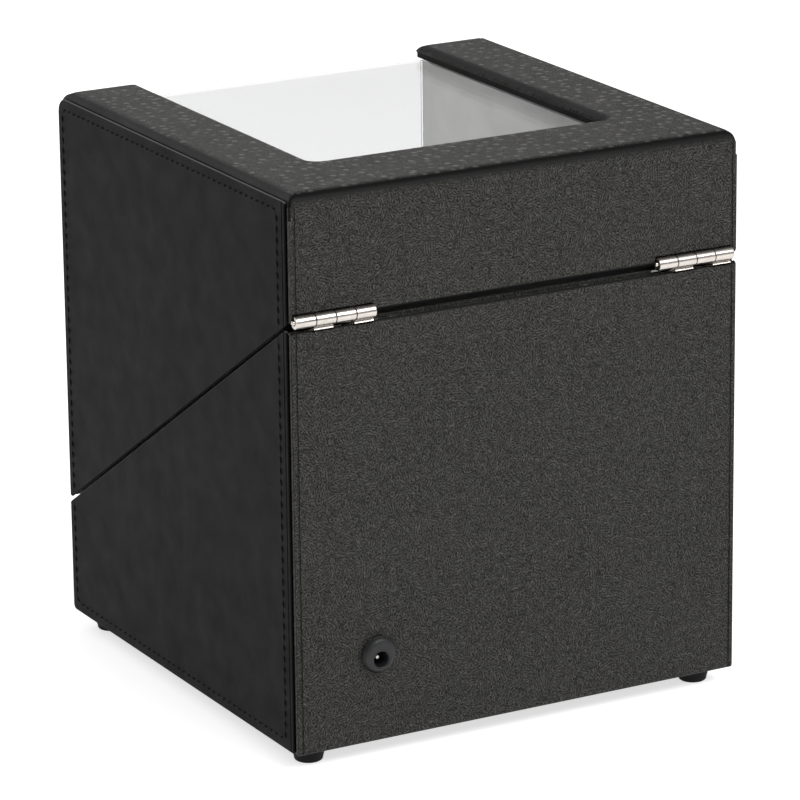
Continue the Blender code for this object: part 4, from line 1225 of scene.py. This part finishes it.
def knob():
    low, high = local_box("mode_knob")
    x, y = (low.x + high.x) / 2, (low.y + high.y) / 2
    top = high.z
    radius = 7 * MM
    base = top - 9 * MM
    profile = [
        (0, top - 0.4 * MM),
        (4.4 * MM, top - 0.4 * MM),
        (4.9 * MM, top - 0.05 * MM),
        (5.6 * MM, top),
        (6.1 * MM, top - 0.25 * MM),
        (6.35 * MM, top - 0.8 * MM),
        (6.75 * MM, base + 1.2 * MM),
        (radius, base + 0.9 * MM),
        (radius, base),
        (2.6 * MM, base),
        (2.6 * MM, low.z),
        (0, low.z),
    ]
    mesh = lathe_mesh(profile, 144)
    for vertex in mesh.vertices:
        distance = math.hypot(vertex.co.x, vertex.co.y)
        if 5.8 * MM < distance and base + MM < vertex.co.z < top - 0.3 * MM:
            angle = math.atan2(vertex.co.y, vertex.co.x)
            cut = 1 - 0.045 * (0.5 + 0.5 * math.cos(24 * angle)) ** 2
            vertex.co.x *= cut
            vertex.co.y *= cut
    cap = new_object("mode_dial", mesh, BLACK)
    slot = box_mesh((-0.35 * MM, 1.5 * MM, top - 0.8 * MM), (0.35 * MM, 9 * MM, top + MM))
    boolean(cap, "DIFFERENCE", slot)
    settle(cap)
    cap.data.transform(on_deck(x, y))
    smooth(cap, 30)
    finish_piece(cap, "knob", "black_plastic", "mode_knob")
    bar = box_mesh((-0.3 * MM, 1.8 * MM, top - 0.8 * MM), (0.3 * MM, 5.8 * MM, top - 0.3 * MM))
    mark = new_object("dial_mark", bar, MARK)
    bevel(mark, 0.1 * MM, 2)
    settle(mark)
    mark.data.transform(on_deck(x, y))
    finish_piece(mark, "knob", "white_plastic")
    surface = local_box("deck_board")[1].z
    profile = [(0, 0.12 * MM), (0.5 * MM, 0.1 * MM), (0.6 * MM, -0.2 * MM), (0, -0.2 * MM)]
    meshes = []
    for degrees in (90, 22.5, -45, -112.5, -180):
        angle = math.radians(degrees)
        place = (x + DIAL * math.cos(angle), y + DIAL * math.sin(angle), surface)
        meshes.append(lathe_mesh(profile, 20, Matrix.Translation(place)))
    dots = join_meshes("dial_dots", meshes, BLACK)
    dots.data.transform(SLANTED)
    smooth(dots, 35)
    finish_piece(dots, "base", "black_plastic")


def button():
    low, high = local_box("power_button")
    x, y = (low.x + high.x) / 2, (low.y + high.y) / 2
    radius = 3.9 * MM
    top = high.z
    profile = [
        (0, top - 0.35 * MM),
        (1.6 * MM, top - 0.22 * MM),
        (2.7 * MM, top),
        *arc((radius - 0.7 * MM, top - 0.72 * MM), 0.7 * MM, 90, 0, 6),
        (radius, low.z),
        (0, low.z),
    ]
    cap = turned("push_button", profile, 64, NICKEL, on_deck(x, y))
    finish_piece(cap, "button", "nickel", "power_button")
    low, high = local_box("button_housing")
    rim = high.z
    profile = [
        (4.2 * MM, rim - 0.3 * MM),
        (4.5 * MM, rim),
        *arc((6.5 * MM, rim - 0.7 * MM), 0.7 * MM, 90, 0, 5),
        (7.2 * MM, rim - MM),
        (5.5 * MM, rim - MM),
        (5.5 * MM, low.z),
        (0, low.z),
        (0, low.z + 2 * MM),
        (4.2 * MM, low.z + 2 * MM),
    ]
    collar = turned("button_collar", profile, 64, BLACK, on_deck(x, y))
    finish_piece(collar, "base", "black_plastic", "button_housing")


# ---------------------------------------------------------------- studio

FLOOR_GLOW = 0.67
WORLD = 0.34
# Name, place, aim, size in metres and power in watts.
LIGHTS = (
    ("back_softbox", (-0.25, 0.8, 0.88), (0, 0.05, 0.19), (0.8, 0.6), 8.6),
    ("front_softbox", (-0.5, -1.6, 1.2), (0, 0, 0.1), (1.2, 1.0), 5),
    ("fill_softbox", (0.75, -1.3, 1.0), (0, 0, 0.1), (0.8, 0.8), 5.5),
)
# Azimuth, elevation and roll in degrees, then the place in metres and the lens in millimetres.
CAMERA_ANGLES = (151.184, 16.997, -0.632)
CAMERA_PLACE = (0.8115, 1.4780, 0.6132)
CAMERA_LENS = 218.69


def studio():
    floor_mesh = box_mesh((-9, -9, -0.02), (9, 9, 0))
    floor = new_object("studio_floor", floor_mesh)
    paint = Paint("floor_look")
    tone = paint.noise(paint.place(), 900, detail=2)
    paint.colour(paint.mixed(tone, (0.86, 0.86, 0.86), (0.88, 0.88, 0.88)))
    paint.rough(0.9)
    paint.shader.inputs["Emission Color"].default_value = (1, 1, 1, 1)
    paint.shader.inputs["Emission Strength"].default_value = FLOOR_GLOW
    paint.set(specular_ior_level=0.1)
    floor.data.materials.append(paint.material)

    world = bpy.data.worlds.new("studio")
    world.use_nodes = True
    world.node_tree.nodes["Background"].inputs[0].default_value = (1, 1, 1, 1)
    world.node_tree.nodes["Background"].inputs[1].default_value = WORLD
    bpy.context.scene.world = world

    for name, place, aim, size, power in LIGHTS:
        light = bpy.data.lights.new(name, "AREA")
        light.shape = "RECTANGLE"
        light.size, light.size_y = size
        light.energy = power
        lamp = bpy.data.objects.new(name, light)
        bpy.context.scene.collection.objects.link(lamp)
        lamp.location = place
        lamp.rotation_euler = (Vector(aim) - Vector(place)).to_track_quat("-Z", "Y").to_euler()


def camera():
    """The camera at the place and angle from which the object was photographed."""
    azimuth, elevation, roll = (math.radians(a) for a in CAMERA_ANGLES)
    back = Vector(
        (
            math.sin(azimuth) * math.cos(elevation),
            -math.cos(azimuth) * math.cos(elevation),
            math.sin(elevation),
        )
    )
    right = Vector((0, 0, 1)).cross(back).normalized()
    up = back.cross(right)
    turned_right = right * math.cos(roll) + up * math.sin(roll)
    turned_up = up * math.cos(roll) - right * math.sin(roll)
    rows = Matrix((turned_right, turned_up, back)).transposed().to_4x4()
    lens = bpy.data.cameras.new("camera")
    lens.sensor_width = 36
    lens.lens = CAMERA_LENS
    lens.clip_end = 50
    made = bpy.data.objects.new("camera", lens)
    bpy.context.scene.collection.objects.link(made)
    made.matrix_world = Matrix.Translation(CAMERA_PLACE) @ rows
    bpy.context.scene.camera = made


camera()
studio()
lid_shell()
base_boards()
panels()
for side, _ in SIDES:
    hinge(side)
    cushion(side)
jack()
feet()
turntable()
knob()
button()
bpy.context.scene.view_settings.view_transform = "Standard"

for obj in scratch:
    bpy.data.objects.remove(obj, do_unlink=True)
